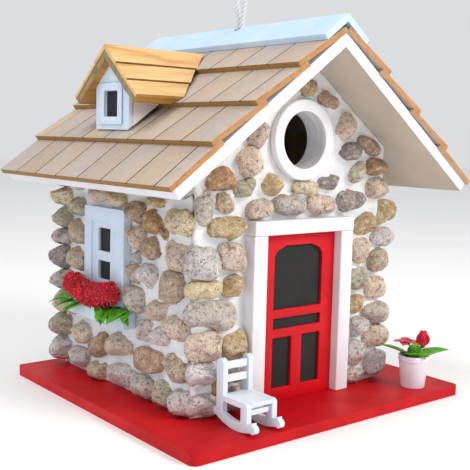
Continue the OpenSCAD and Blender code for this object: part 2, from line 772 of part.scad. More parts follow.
module pot_soil() {
  color("saddlebrown") translate(pot_pos) rotate_extrude()
    polygon([[0, 2], [pot_r - pot_wall, 2],
      [pot_r - pot_wall + (pot_rim_r - pot_r) * (soil_z - 2) / (pot_h - 2), soil_z], [0, soil_z]]);
}

leaf_aims = [[-44, 19, 30], [136, 19, 30], [60, 12, 38], [-130, 13, 28]];

// Plain leaf blades that rise from the soil, [turn, length, lift]
module pot_leaves() {
  color("limegreen") translate(pot_pos + [0, 0, soil_z]) for (a = leaf_aims) rotate([0, 0, a[0]])
    translate([1, 0, 0]) rotate([0, -a[2], 0])
      linear_extrude(0.9) polygon([[0, -2], [a[1] * 0.5, -5], [a[1], 0], [a[1] * 0.5, 5], [0, 2]]);
}

module pot_flowers() {
  color("crimson") translate(pot_pos + [0, 0, soil_z]) {
    cylinder(d = 1.2, h = 10);
    translate([3, -3.5, 12.5]) sphere(r = 4.2);
    translate([-3, 3, 10]) rotate([0, 12, 0]) cylinder(r = 5.6, h = 2.2, center = true);
  }
}

// ---------------------------------------------------------------- clean-out

module cleanout_panel() {
  color("white") difference() {
    span([-panel_hw, rear_y + 0.05, panel_bottom], [panel_hw, rear_y + panel_t, panel_top]);
    for (s = [-1, 1]) translate([s * lock_x, rear_y + panel_t + 1, lock_z]) rotate([90, 0, 0])
      cylinder(r = lock_d / 2 + lock_gap, h = panel_t + 2);
  }
}

// Pan-head screw across the panel and into the rear wall
module lock_screw(side) {
  translate([side * lock_x, rear_y + panel_t + 0.05, lock_z]) rotate([-90, 0, 0]) difference() {
    union() {
      cylinder(d = lock_head_d, h = lock_head_h);
      translate([0, 0, -lock_len - 2]) cylinder(d = lock_d, h = lock_len + 2);
    }
    for (a = [0, 90]) rotate(a) translate([-1.4, -0.3, lock_head_h - 0.8]) cube([2.8, 0.6, 2]);
  }
}

module cleanout_left_screw() { color("silver") lock_screw(-1); }
module cleanout_right_screw() { color("silver") lock_screw(1); }

base_board();
base_screws();
front_wall();
left_wall();
right_wall();
rear_wall();
front_mortar();
left_mortar();
right_mortar();
rear_mortar();
front_stones();
left_stones();
right_stones();
rear_stones();
entrance_ring();
door_header();
door_left_jamb();
door_right_jamb();
door_panel();
door_screen();
window_frame();
window_sash();
window_pane();
window_box();
window_flowers();
window_leaves();
left_roof_board();
right_roof_board();
left_shingles_1();
left_shingles_2();
left_shingles_3();
left_shingles_4();
right_shingles_1();
right_shingles_2();
right_shingles_3();
right_shingles_4();
left_ridge_cap();
right_ridge_cap();
hanging_rope();
rope_knot();
dormer_front();
dormer_left_cheek();
dormer_right_cheek();
dormer_window_frame();
dormer_pane();
dormer_left_roof();
dormer_right_roof();
dormer_boards();
chair_left_side();
chair_right_side();
chair_seat();
chair_rails();
flower_pot();
pot_soil();
pot_leaves();
pot_flowers();
cleanout_panel();
cleanout_left_screw();
cleanout_right_screw();
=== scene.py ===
# Looks of the stone cottage birdhouse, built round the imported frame. Lengths are in millimetres,
# times MM where Blender needs metres. Places come from the frame's boxes and solids. Only the
# rope's route, the roof's pitch, the scores between shingles and the places in the lists of
# cobble colours repeat numbers of part.scad.
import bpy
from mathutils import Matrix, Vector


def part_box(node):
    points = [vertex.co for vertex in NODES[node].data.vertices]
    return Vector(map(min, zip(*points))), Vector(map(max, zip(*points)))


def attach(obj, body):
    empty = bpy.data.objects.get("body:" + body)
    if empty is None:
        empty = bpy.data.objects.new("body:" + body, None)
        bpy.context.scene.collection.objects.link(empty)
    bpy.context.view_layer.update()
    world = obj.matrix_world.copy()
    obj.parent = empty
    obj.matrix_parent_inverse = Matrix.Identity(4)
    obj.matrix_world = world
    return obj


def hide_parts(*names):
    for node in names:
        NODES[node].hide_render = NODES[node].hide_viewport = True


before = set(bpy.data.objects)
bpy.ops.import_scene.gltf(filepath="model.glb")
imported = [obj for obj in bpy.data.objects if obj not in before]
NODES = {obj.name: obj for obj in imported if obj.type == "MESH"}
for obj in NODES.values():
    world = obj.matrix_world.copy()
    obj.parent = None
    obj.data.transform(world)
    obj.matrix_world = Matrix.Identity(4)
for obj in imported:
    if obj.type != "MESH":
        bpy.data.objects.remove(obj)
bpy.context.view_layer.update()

import math
import random

import bmesh
import bpy
import numpy as np
from mathutils import Matrix, Vector

MM = 0.001
HOUSE = "house"
UP = Vector((0, 0, 1))


# ---- camera

def new_object(name, data):
    made = bpy.data.objects.new(name, data)
    bpy.context.scene.collection.objects.link(made)
    return made


# The camera as fitted to the photograph; its angles are turn from +Y, tilt down and roll
CAMERA_AT = Vector((-326.9, -399.6, 153.6))
CAMERA_ANGLES = (39.11, 6.59, 1.44)
CAMERA_LENS = 64.78
CAMERA_SENSOR = 36


def make_camera():
    """A camera at the photograph's angle: to the left of the door, a little above the middle."""
    yaw, pitch, roll = (math.radians(a) for a in CAMERA_ANGLES)
    ahead = Vector((math.sin(yaw) * math.cos(pitch), math.cos(yaw) * math.cos(pitch),
                    -math.sin(pitch)))
    flat_right = Vector((math.cos(yaw), -math.sin(yaw), 0))
    flat_up = flat_right.cross(ahead)
    right = math.cos(roll) * flat_right + math.sin(roll) * flat_up
    up = math.cos(roll) * flat_up - math.sin(roll) * flat_right
    data = bpy.data.cameras.new("camera")
    data.sensor_width = CAMERA_SENSOR
    data.lens = CAMERA_LENS
    camera = new_object("camera", data)
    turn = Matrix((right, up, -ahead)).transposed()
    camera.matrix_world = Matrix.Translation(CAMERA_AT * MM) @ turn.to_4x4()
    bpy.context.scene.camera = camera


# ---- materials

# Colour sockets of a Mix node, whose names repeat those of its other types
MIX_A, MIX_B, MIX_RESULT = 6, 7, 2


class Look:
    """A node material, built step by step. Texture scales are per metre of the frame."""

    def __init__(self, name, roughness=0.6, specular=0.4):
        self.material = bpy.data.materials.new(name)
        self.material.use_nodes = True
        self.tree = self.material.node_tree
        self.shader = self.tree.nodes["Principled BSDF"]
        self.shader.inputs["Roughness"].default_value = roughness
        self.shader.inputs["Specular IOR Level"].default_value = specular

    def node(self, kind, inputs=(), **settings):
        """A new node with its settings, and with a value or a link on each named input."""
        made = self.tree.nodes.new(kind)
        for key, value in settings.items():
            setattr(made, key, value)
        for key, value in dict(inputs).items():
            self.put(made.inputs[key], value)
        return made

    def put(self, socket, value):
        if isinstance(value, bpy.types.NodeSocket):
            self.tree.links.new(value, socket)
        elif socket.type == "RGBA":
            socket.default_value = (*value, 1)
        else:
            socket.default_value = value

    def stored(self, name, output):
        """A value that the mesh stores."""
        return self.node("ShaderNodeAttribute", attribute_name=name).outputs[output]

    def place(self, scale=(1, 1, 1), attribute=None):
        """Texture place, stretched; by object coordinates or by a stored vector."""
        where = (self.stored(attribute, "Vector") if attribute
                 else self.node("ShaderNodeTexCoord").outputs["Object"])
        return self.node("ShaderNodeMapping", {"Vector": where, "Scale": scale}).outputs[0]

    def noise(self, where, scale, detail, rough=0.55, warp=0.0):
        return self.node("ShaderNodeTexNoise", {"Vector": where, "Scale": scale, "Detail": detail,
                         "Roughness": rough, "Distortion": warp}).outputs["Fac"]

    def ramp(self, factor, stops):
        """Colour ramp from (place, colour) stops."""
        made = self.node("ShaderNodeValToRGB", {"Fac": factor})
        band = made.color_ramp
        while len(band.elements) < len(stops):
            band.elements.new(0.5)
        for element, (place, colour) in zip(band.elements, stops):
            element.position = place
            element.color = (*colour, 1) if hasattr(colour, "__len__") else (colour,) * 3 + (1,)
        return made.outputs["Color"]

    def mix(self, factor, a, b, blend="MIX"):
        made = self.node("ShaderNodeMix", data_type="RGBA", blend_type=blend)
        self.put(made.inputs["Factor"], factor)
        self.put(made.inputs[MIX_A], a)
        self.put(made.inputs[MIX_B], b)
        return made.outputs[MIX_RESULT]

    def over(self, under, factor, low, high, colour):
        """Lays a colour over another, as much as a ramp of the factor says."""
        return self.mix(self.ramp(factor, [low, high]), under, colour)

    def sum(self, a, b, weight=1.0):
        """a + weight * b"""
        made = self.node("ShaderNodeMath", {0: b, 1: weight, 2: a}, operation="MULTIPLY_ADD")
        return made.outputs[0]

    def colour(self, value):
        self.put(self.shader.inputs["Base Color"], value)

    def roughness(self, value):
        self.put(self.shader.inputs["Roughness"], value)

    def bump(self, height, strength, depth):
        """Bump of that depth in millimetres. It comes last, and gives the finished material."""
        made = self.node("ShaderNodeBump", {"Height": height, "Strength": strength,
                         "Distance": depth * MM})
        self.put(self.shader.inputs["Normal"], made.outputs[0])
        return self.material


def shade(colour, k):
    """The colour, k times as bright."""
    return tuple(min(1.0, c * k) for c in colour)


def painted(name, colour, worn, roughness, along, edge=0.5, mottle=0.9, gloss=0.4):
    """Brushed paint: streaks along one axis, mottling, rubbed edges and worn specks."""
    look = Look(name, roughness, gloss)
    stretch = {"x": (0.08, 1, 1), "y": (1, 0.08, 1), "z": (1, 1, 0.08)}[along]
    streak = look.noise(look.place(stretch), 900, 5, 0.6)
    cloud = look.noise(look.place(), 45, 5, 0.6)
    speck = look.noise(look.place(), 1600, 3, 0.7)
    tone = look.ramp(cloud, [(0.35, shade(colour, mottle)), (0.62, colour)])
    tone = look.over(tone, streak, (0.42, 0.0), (0.75, 0.35), shade(colour, mottle))
    tone = look.over(tone, speck, (0.68, 0.0), (0.8, 0.5), worn)
    point = look.node("ShaderNodeNewGeometry").outputs["Pointiness"]
    rubbed = look.mix(1.0, look.ramp(point, [(0.53, 0.0), (0.62, 1.0)]),
                      look.ramp(cloud, [(0.4, 0.0), (0.7, edge)]), "MULTIPLY")
    look.colour(look.mix(rubbed, tone, worn))
    look.roughness(look.ramp(cloud, [(0.3, roughness + 0.1), (0.7, roughness - 0.05)]))
    return look.bump(look.sum(streak, speck, 0.4), 0.3, 0.18)


def grained(name, pale, mid, dark, roughness, stretch=(1, 1, 1), gloss=0.35, fibre=0.5,
            depth=0.3):
    """Bare or varnished wood: soft rings, fine fibres and pores along one axis."""
    look = Look(name, roughness, gloss)
    where = look.place(stretch)
    rings = look.noise(where, 120, 3, 0.5, 1.2)
    fibres = look.noise(where, 900, 6, 0.7)
    cloud = look.noise(look.place(), 40, 4, 0.6)
    tone = look.ramp(rings, [(0.3, dark), (0.45, mid), (0.65, pale)])
    tone = look.mix(look.ramp(fibres, [(0.35, fibre), (0.6, 0.0)]), tone, dark)
    look.colour(look.over(tone, cloud, (0.35, 0.35), (0.65, 0.0), mid))
    look.roughness(look.ramp(fibres, [(0.3, roughness + 0.15), (0.7, roughness)]))
    return look.bump(fibres, 0.5, depth)


PRIMER = (0.9, 0.86, 0.82)


def shingle_look():
    """Dry cedar: pinkish grey-tan faces with a tint for each shingle, golden sawn edges, and
    painted shade, near black, on the walls and floors of the scores.
    """
    look = Look("cedar_shingle", 0.72, 0.25)
    where = look.place((0.12, 1, 1), "grain")
    tint = look.stored("tint", "Fac")
    edge = look.stored("cut", "Color")
    fibres = look.noise(where, 1300, 6, 0.7)
    bands = look.noise(where, 160, 3, 0.5, 0.8)
    cloud = look.noise(look.place((0.5, 1, 1), "grain"), 55, 4, 0.6)
    face = look.ramp(tint, [(0.0, (0.48, 0.37, 0.29)), (0.25, (0.56, 0.46, 0.36)),
                            (0.5, (0.53, 0.45, 0.42)), (0.75, (0.50, 0.44, 0.38)),
                            (1.0, (0.60, 0.48, 0.35))])
    face = look.over(face, cloud, (0.35, 0.6), (0.6, 0.0), (0.47, 0.42, 0.43))
    face = look.over(face, bands, (0.45, 0.0), (0.7, 0.6), (0.60, 0.42, 0.24))
    face = look.over(face, fibres, (0.32, 0.6), (0.52, 0.0), (0.33, 0.24, 0.18))
    sawn = look.ramp(fibres, [(0.3, (0.20, 0.10, 0.03)), (0.7, (0.42, 0.24, 0.08))])
    amount = look.node("ShaderNodeSeparateColor", {"Color": edge})
    tone = look.mix(amount.outputs[0], face, sawn)
    end = look.ramp(fibres, [(0.3, (0.34, 0.14, 0.05)), (0.7, (0.60, 0.33, 0.15))])
    tone = look.mix(amount.outputs[1], tone, end)
    # painted shade: the walls and floors of the scores are coloured near black, for the shade in
    # the grooves
    look.colour(look.mix(amount.outputs[2], tone, (0.10, 0.055, 0.025)))
    return look.bump(look.sum(fibres, bands, 0.4), 0.6, 0.25)


def stone_look():
    """Cobbles: a colour for each stone, broken up by clouds, veins, and dark and pale specks."""
    look = Look("fieldstone", 0.68, 0.35)
    where = look.place()
    base = look.stored("stone", "Color")
    second = look.stored("stain", "Color")
    cloud = look.noise(where, 130, 6, 0.62, 0.6)
    grain = look.noise(where, 1500, 5, 0.75)
    cells = look.node("ShaderNodeTexVoronoi", {"Vector": where, "Scale": 1100})
    fleck = cells.outputs["Distance"]
    patch = look.noise(where, 420, 5, 0.7, 0.3)
    tone = look.over(base, cloud, (0.42, 0.0), (0.60, 0.9), second)
    tone = look.over(tone, patch, (0.37, 0.85), (0.47, 0.0), (0.19, 0.12, 0.08))
    tone = look.over(tone, patch, (0.53, 0.0), (0.64, 0.75), (0.76, 0.66, 0.52))
    tone = look.over(tone, grain, (0.36, 0.8), (0.5, 0.0), (0.10, 0.075, 0.07))
    tone = look.over(tone, grain, (0.56, 0.0), (0.7, 0.6), (0.78, 0.72, 0.64))
    tone = look.over(tone, fleck, (0.1, 0.6), (0.3, 0.0), (0.16, 0.12, 0.11))
    look.colour(tone)
    look.roughness(look.ramp(cloud, [(0.3, 0.55), (0.7, 0.8)]))
    return look.bump(look.sum(look.sum(grain, fleck, 0.5), patch, 1.5), 0.7, 0.6)


def mortar_look():
    """White trowelled mortar: chalky, with fine sand and faint grey damp patches."""
    look = Look("mortar", 0.85, 0.2)
    where = look.place()
    cloud = look.noise(where, 60, 5, 0.6)
    sand = look.noise(where, 1800, 4, 0.7)
    tone = look.ramp(cloud, [(0.35, (0.70, 0.72, 0.76)), (0.6, (0.84, 0.84, 0.85))])
    look.colour(look.over(tone, sand, (0.3, 0.35), (0.5, 0.0), (0.5, 0.48, 0.45)))
    return look.bump(look.sum(sand, look.noise(where, 350, 4, 0.6), 1.2), 0.5, 0.35)


def screen_look():
    """Flat black board with a faint woven insect screen."""
    look = Look("black_screen", 0.65, 0.15)
    where = look.place()
    threads = [look.node("ShaderNodeTexWave", {"Vector": where, "Scale": 260, "Distortion": 0.4},
                         bands_direction=axis).outputs["Fac"] for axis in ("X", "Z")]
    weave = look.sum(threads[0], threads[1])
    cloud = look.noise(where, 60, 4, 0.6)
    tone = look.ramp(cloud, [(0.3, (0.014, 0.015, 0.016)), (0.7, (0.026, 0.026, 0.025))])
    look.colour(look.over(tone, weave, (0.5, 0.0), (1.0, 0.4), (0.045, 0.045, 0.042)))
    return look.bump(weave, 0.4, 0.12)


def petal_look(name, pale, deep):
    """Soft fibrous petals or moss: a pale and a deep colour in clouds, under fine fibres."""
    look = Look(name, 0.75, 0.25)
    look.shader.inputs["Sheen Weight"].default_value = 0.4
    where = look.place()
    cloud = look.noise(where, 220, 4, 0.6)
    fibre = look.noise(where, 2400, 3, 0.7)
    tone = look.ramp(cloud, [(0.35, deep), (0.65, pale)])
    look.colour(look.over(tone, fibre, (0.55, 0.0), (0.75, 0.35), shade(pale, 1.2)))
    return look.bump(fibre, 0.5, 0.2)


def leaf_look():
    """Bright cut leaves with paler veins."""
    look = Look("leaf", 0.45, 0.4)
    where = look.place()
    cloud = look.noise(where, 180, 4, 0.6)
    veins = look.noise(look.place((1, 1, 0.3)), 900, 4, 0.6)
    tone = look.ramp(cloud, [(0.3, (0.03, 0.22, 0.008)), (0.52, (0.10, 0.42, 0.015)),
                             (0.72, (0.26, 0.58, 0.05))])
    look.colour(look.over(tone, veins, (0.55, 0.0), (0.75, 0.4), (0.35, 0.62, 0.12)))
    return look.bump(veins, 0.4, 0.15)


def steel_look():
    """Zinc-plated screws: dull, with fine scratches."""
    look = Look("zinc_steel", 0.35, 0.5)
    look.shader.inputs["Metallic"].default_value = 1.0
    scratch = look.noise(look.place((1, 0.2, 1)), 1500, 4, 0.7)
    cloud = look.noise(look.place(), 300, 3, 0.5)
    look.colour(look.ramp(cloud, [(0.3, (0.50, 0.50, 0.49)), (0.7, (0.72, 0.72, 0.73))]))
    look.roughness(look.ramp(scratch, [(0.3, 0.28), (0.7, 0.5)]))
    return look.bump(scratch, 0.2, 0.05)


def rope_look():
    """White cotton cord: fine yarns, with painted shade, a mid grey, in the grooves between the
    strands.
    """
    look = Look("white_rope", 0.9, 0.15)
    look.shader.inputs["Sheen Weight"].default_value = 0.3
    groove_and_shade = look.stored("groove_and_shade", "Fac")
    yarn = look.noise(look.place(), 2600, 4, 0.7)
    # painted shade: grey where the strands dip into the grooves between them
    tone = look.ramp(groove_and_shade, [(0.0, (0.78, 0.78, 0.80)), (1.0, (0.42, 0.43, 0.46))])
    look.colour(look.over(tone, yarn, (0.35, 0.4), (0.55, 0.0), (0.55, 0.55, 0.58)))
    return look.bump(yarn, 0.6, 0.2)


LOOKS = {
    "red": painted("red_paint", (0.56, 0.0015, 0.006), (0.66, 0.02, 0.03), 0.5, "x", 0.35, 0.8,
                   gloss=0.22),
    "door": painted("door_paint", (0.64, 0.002, 0.01), (0.34, 0.0, 0.0), 0.42, "z", 0.3, 0.82,
                    gloss=0.25),
    "white": painted("white_trim", (0.83, 0.82, 0.86), PRIMER, 0.42, "z"),
    "blue": painted("pale_blue_trim", (0.66, 0.77, 0.92), (0.92, 0.94, 0.96), 0.45, "z"),
    "roof": painted("roof_paint", (0.82, 0.81, 0.87), (0.7, 0.6, 0.45), 0.45, "y"),
    "soffit": painted("soffit_paint", (0.60, 0.54, 0.45), (0.66, 0.6, 0.5), 0.6, "y", 0.4, 0.88),
    "cap": painted("ridge_cap_paint", (0.58, 0.76, 0.95), (0.88, 0.9, 0.9), 0.45, "y"),
    "cheek": painted("cheek_paint", (0.84, 0.78, 0.79), PRIMER, 0.5, "x"),
    "chair": painted("chair_paint", (0.72, 0.81, 0.90), (0.93, 0.9, 0.95), 0.42, "z"),
    "pot": painted("pot_paint", (0.82, 0.76, 0.84), (0.9, 0.85, 0.9), 0.4, "z"),
    "ply": grained("plywood", (0.62, 0.45, 0.28), (0.52, 0.35, 0.2), (0.33, 0.2, 0.1), 0.75,
                   (1, 1, 0.15)),
    "pine": grained("varnished_pine", (0.80, 0.56, 0.27), (0.72, 0.44, 0.17), (0.50, 0.24, 0.06),
                    0.42, (0.1, 1, 1), gloss=0.5, fibre=0.4, depth=0.2),
    # painted shade: the downward faces of the dormer's boards are coloured a darker amber
    "amber_shade": grained("pine_underside_shade", (0.58, 0.32, 0.09), (0.48, 0.23, 0.05), (0.26, 0.10, 0.02),
                     0.55, (0.1, 1, 1)),
    # painted shade: the thin lap faces between the boards are coloured near-black brown
    "lap": grained("pine_lap", (0.24, 0.12, 0.03), (0.16, 0.07, 0.02), (0.08, 0.03, 0.01), 0.7),
    "end": grained("pine_end", (0.40, 0.32, 0.18), (0.30, 0.23, 0.12), (0.14, 0.10, 0.05), 0.7),
    "shingle": shingle_look(),
    "stone": stone_look(),
    "mortar": mortar_look(),
    "screen": screen_look(),
    "petal": petal_look("petal", (0.78, 0.002, 0.03), (0.50, 0.0, 0.012)),
    "bud": petal_look("bud", (0.76, 0.006, 0.03), (0.42, 0.0, 0.01)),
    "leaf": leaf_look(),
    "moss": petal_look("moss", (0.10, 0.26, 0.03), (0.02, 0.07, 0.01)),
    "steel": steel_look(),
    "rope": rope_look(),
}


# ---- mesh helpers

def box_mm(node):
    """Lowest and highest corners of a node, in millimetres."""
    low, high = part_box(node)
    return np.array(low) / MM, np.array(high) / MM


def all_round(count):
    """Even directions round a circle."""
    return np.linspace(0, math.tau, count, endpoint=False)


def entrance_height():
    """Height of the middle of the entrance, in metres."""
    low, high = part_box("entrance_ring")
    return (low.z + high.z) / 2


def add_piece(mesh, looks, nodes, body=HOUSE):
    """The mesh as a piece of its name, which rides on a body and stands for CAD nodes."""
    piece = new_object(mesh.name, mesh)
    for look in looks:
        mesh.materials.append(LOOKS[look])
    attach(piece, body)
    if nodes:
        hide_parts(*nodes)
    return piece


def mesh_of(bm, name, smooth=True):
    """The bmesh as a new mesh. The bmesh is freed."""
    mesh = bpy.data.meshes.new(name)
    for face in bm.faces:
        face.smooth = smooth
    bm.normal_update()
    bm.to_mesh(mesh)
    bm.free()
    return mesh


def mesh_from(name, points, faces, smooth=True):
    """A new mesh from points in metres and faces."""
    mesh = bpy.data.meshes.new(name)
    mesh.from_pydata([tuple(p) for p in points], [], [tuple(f) for f in faces])
    mesh.polygons.foreach_set("use_smooth", [smooth] * len(mesh.polygons))
    mesh.update()
    return mesh


def face_outward(mesh):
    """Turns the faces of closed shells outward."""
    bm = bmesh.new()
    bm.from_mesh(mesh)
    bmesh.ops.recalc_face_normals(bm, faces=bm.faces)
    bm.to_mesh(mesh)
    bm.free()


def tube_faces(rings, sides):
    """Faces between one ring of points and the next."""
    return [(i * sides + j, (i + 1) * sides + j, (i + 1) * sides + (j + 1) % sides,
             i * sides + (j + 1) % sides) for i in range(rings - 1) for j in range(sides)]


WELD = 2e-6  # metres within which the frame's doubled points are one

# Nodes with long thin triangles on flat faces, which smooth shading would streak
FLAT_SHADED = ("cleanout_panel", "front_wall", "base_board", "left_roof_board",
               "right_roof_board", "left_ridge_cap", "right_ridge_cap")

# Nodes with openings through their faces. Joining the triangles of such a face would close them.
PIERCED = FLAT_SHADED + ("window_sash", "window_frame", "dormer_window_frame", "dormer_front",
                         "door_panel", "entrance_ring")


def clean_copy(node):
    """The node's solid as a bmesh, with whole flat faces again unless openings pierce them."""
    bm = bmesh.new()
    bm.from_mesh(NODES[node].data)
    bmesh.ops.remove_doubles(bm, verts=bm.verts, dist=WELD)
    if node not in PIERCED:
        bmesh.ops.dissolve_limit(bm, angle_limit=math.radians(0.8), verts=bm.verts,
                                 edges=bm.edges, delimit=set())
    return bm


def soften(piece, width, segments=3, harden=True):
    """Rounds the piece's sharp edges by a width in millimetres."""
    bevel = piece.modifiers.new("soft_edges", "BEVEL")
    bevel.width = width * MM
    bevel.segments = segments
    bevel.limit_method = "ANGLE"
    bevel.angle_limit = math.radians(28)
    bevel.harden_normals = harden
    bevel.miter_outer = "MITER_ARC"


def refine(node, looks, edge, choose=None, body=HOUSE):
    """A copy of a CAD board with softened edges; choose(face) gives the look's number."""
    bm = clean_copy(node)
    if choose:
        bm.normal_update()
        for face in bm.faces:
            face.material_index = choose(face)
    smooth = node not in FLAT_SHADED
    piece = add_piece(mesh_of(bm, node + "_board", smooth), looks, [node], body)
    if edge:
        soften(piece, edge, harden=smooth)


def paint_node(node, look):
    """Gives a CAD node that keeps its own shape a look."""
    slots = NODES[node].data.materials
    slots.clear()
    slots.append(LOOKS[look])


# ---- rope

ROPE_Y = 2.5  # the loop's middle plane
ROPE_D = 3.0
KNOT_ROPE_D = 2.7  # the knot's rope is pulled a little thinner
LAY = 8.0  # length of one full turn of the strands
STRANDS = 3
# The loop's rising half as (y, z), the same as in part.scad. The falling half mirrors it.
ROPE_UP = [(0.9, 199), (0.9, 204), (0.9, 209), (0.9, 214), (0.9, 219), (0.6, 223), (-0.2, 228),
           (-1.3, 234), (-2.6, 240), (-4, 246), (-5, 251), (-5.2, 256), (-4.2, 260.5), (-1.4, 264)]
ROPE_ROUTE = ([(0, y, z) for y, z in ROPE_UP] + [(0, ROPE_Y, 265.5)]
              + [(0, 2 * ROPE_Y - y, z) for y, z in reversed(ROPE_UP)])


def smooth_path(points, per_span):
    """A Catmull-Rom curve through the points."""
    p = np.array([points[0], *points, points[-1]], float)
    t = np.linspace(0, 1, per_span, endpoint=False)[:, None]
    spans = [0.5 * (2 * b + (c - a) * t + (2 * a - 5 * b + 4 * c - d) * t ** 2
                    + (3 * b - a - 3 * c + d) * t ** 3)
             for a, b, c, d in zip(p, p[1:], p[2:], p[3:])]
    return np.vstack([*spans, p[-1:]])


def twisted_rope(name, path, diameter, sides=30):
    """A laid rope along a path: a tube with strands that wind round it, and rounded ends."""
    ahead = np.gradient(path, axis=0)
    ahead /= np.linalg.norm(ahead, axis=1)[:, None]
    along = np.concatenate([[0], np.cumsum(np.linalg.norm(np.diff(path, axis=0), axis=1))])
    side = np.tile([1.0, 0, 0], (len(path), 1))
    side -= (side * ahead).sum(1)[:, None] * ahead
    side /= np.linalg.norm(side, axis=1)[:, None]
    other = np.cross(ahead, side)
    angle = all_round(sides)[None, :]
    twist = (math.tau / LAY) * along[:, None]
    groove_and_shade = np.abs(np.sin(STRANDS * (angle - twist) / 2)) ** 0.6
    radius = diameter / 2 * (0.80 + 0.20 * groove_and_shade)
    ends = np.minimum(1, 0.5 + 0.5 * np.minimum(along, along[-1] - along) / (0.3 * diameter))
    radius = radius * ends[:, None]
    rings = (path[:, None, :] + (radius * np.cos(angle))[..., None] * side[:, None, :]
             + (radius * np.sin(angle))[..., None] * other[:, None, :])
    count = len(path)
    points = np.vstack([rings.reshape(-1, 3), path[:1], path[-1:]]) * MM
    faces = tube_faces(count, sides)
    first, last = count * sides, count * sides + 1
    faces += [(first, j, (j + 1) % sides) for j in range(sides)]
    faces += [(last, (count - 1) * sides + (j + 1) % sides, (count - 1) * sides + j)
              for j in range(sides)]
    mesh = mesh_from(name, points, faces)
    # the grooves' depth, stored for the painted shade that greys them
    store = mesh.attributes.new("groove_and_shade", "FLOAT", "POINT")
    store.data.foreach_set("value", np.append((1 - groove_and_shade).reshape(-1), [1, 1]))
    return mesh


def make_rope():
    """The hanging loop, and the knot that holds its two ends inside the roof."""
    path = smooth_path(ROPE_ROUTE, 14)
    rope = add_piece(twisted_rope("hanging_rope_laid", path, ROPE_D), ["rope"],
                     ["hanging_rope"])
    low, high = box_mm("rope_knot")
    middle, reach = (low + high) / 2, (high - low)[0] / 2 - KNOT_ROPE_D / 2
    turn = np.linspace(0, math.tau, 120)
    loops = np.stack([np.sin(turn) + 2 * np.sin(2 * turn), np.cos(turn) - 2 * np.cos(2 * turn),
                      -np.sin(3 * turn)], 1) / 3.1
    knot_path = middle + loops * [reach, reach, reach * 1.6]
    knot = add_piece(twisted_rope("rope_knot_tied", knot_path, KNOT_ROPE_D), ["rope"],
                     ["rope_knot"])
    length = np.linalg.norm(np.diff(path, axis=0), axis=1).sum() * MM


# ---- boards and trim

# Boards with one look: node, look, slot and how far the edges are softened
BOARDS = [
    ("door_header", "white", "white_trim", 0.7),
    ("door_left_jamb", "white", "white_trim", 0.7),
    ("door_right_jamb", "white", "white_trim", 0.7),
    ("entrance_ring", "white", "white_trim", 0.25),
    ("door_panel", "door", "red_door_paint", 0.35),
    ("door_screen", "screen", "black_backing", 0.1),
    ("window_pane", "screen", "black_backing", 0.1),
    ("dormer_pane", "screen", "black_backing", 0.1),
    ("window_frame", "blue", "pale_blue_paint", 0.5),
    ("window_sash", "blue", "pale_blue_paint", 0.3),
    ("window_box", "blue", "pale_blue_paint", 0.8)]
BORE_REACH = 17  # the entrance bore's faces are this near its axis


def make_boards():
    """Base, plywood box, door, window and clean-out panel."""
    refine("base_board", ["red"], 1.1)
    eye = entrance_height()

    def in_bore(face):
        middle = face.calc_center_median()
        near = math.hypot(middle.x, middle.z - eye) < BORE_REACH * MM
        return 1 if near and abs(face.normal.y) < 0.5 else 0

    refine("front_wall", ["ply", "white"], 0.1, in_bore)
    for node in ("left_wall", "right_wall", "rear_wall"):
        paint_node(node, "ply")
    for node in ("base_screws", "cleanout_left_screw", "cleanout_right_screw"):
        paint_node(node, "steel")
    for node, look, slot, edge in BOARDS:
        refine(node, [look], edge)
    refine("cleanout_panel", ["white"], 0, body="cleanout_panel")


def soffit_side(face):
    """Number of the look: white paint, or a darker beige on the underside."""
    return 1 if face.normal.z < -0.7 else 0


def make_roof_boards():
    """The two roof boards and the two boards that cap the ridge."""
    for side in ("left", "right"):
        refine(side + "_roof_board", ["roof", "soffit"], 0.6, soffit_side)
        refine(side + "_ridge_cap", ["cap"], 0.6)


# As in part.scad: the roof's pitch, and the width and first score of the shingles
PITCH = math.radians(36.5)
SHINGLE_W = 24.4
SCORE_Y = -75.0
COURSES = 4
TINTS = 12
GABLE_Y = 80  # a course's ends lie beyond this
SCORE_W = 0.9  # faces narrower than this are floors of scores


def make_shingles():
    """Each course keeps its scored grooves, with a tint for each shingle between them."""
    rng = random.Random(7)
    for side, sign in (("left", -1), ("right", 1)):
        up_slope = Vector((-sign * math.cos(PITCH), 0, math.sin(PITCH)))
        outward = Vector((sign * math.sin(PITCH), 0, math.cos(PITCH)))
        for course in range(COURSES):
            node = "%s_shingles_%d" % (side, course + 1)
            bm = clean_copy(node)
            bm.normal_update()
            grain = bm.verts.layers.float_vector.new("grain")
            tint = bm.faces.layers.float.new("tint")
            cut = bm.faces.layers.float_color.new("cut")
            shift = rng.uniform(0, 5)
            for vert in bm.verts:
                vert[grain] = (vert.co.dot(up_slope), vert.co.y + shift, vert.co.dot(outward))
            tints = [rng.random() for _ in range(TINTS)]
            for face in bm.faces:
                place = (face.calc_center_median().y / MM - SCORE_Y) / SHINGLE_W - (course % 2) / 2
                face[tint] = tints[int(math.floor(place)) % TINTS]
                butt = 1.0 if face.normal.dot(up_slope) < -0.6 else 0.0
                ys = [vert.co.y / MM for vert in face.verts]
                across = abs(face.normal.y) > 0.9
                gable = 1.0 if across and abs(ys[0]) > GABLE_Y else 0.0
                # marks the scores' walls and floors, which are coloured near black as painted
                # shade
                score_shade = 1.0 if (across and not gable) or max(ys) - min(ys) < SCORE_W else 0.0
                face[cut] = (butt, gable, score_shade * (1 - gable), 1)
            piece = add_piece(mesh_of(bm, node + "_cedar"), ["shingle"], [node])
            soften(piece, 0.22, 2)


def dormer_side(face):
    """Number of the look: varnished top, painted shade in a darker amber on the underside, or end
    grain at the front.
    """
    if face.normal.z < -0.3:
        return 1
    return 2 if face.normal.x < -0.7 else 0


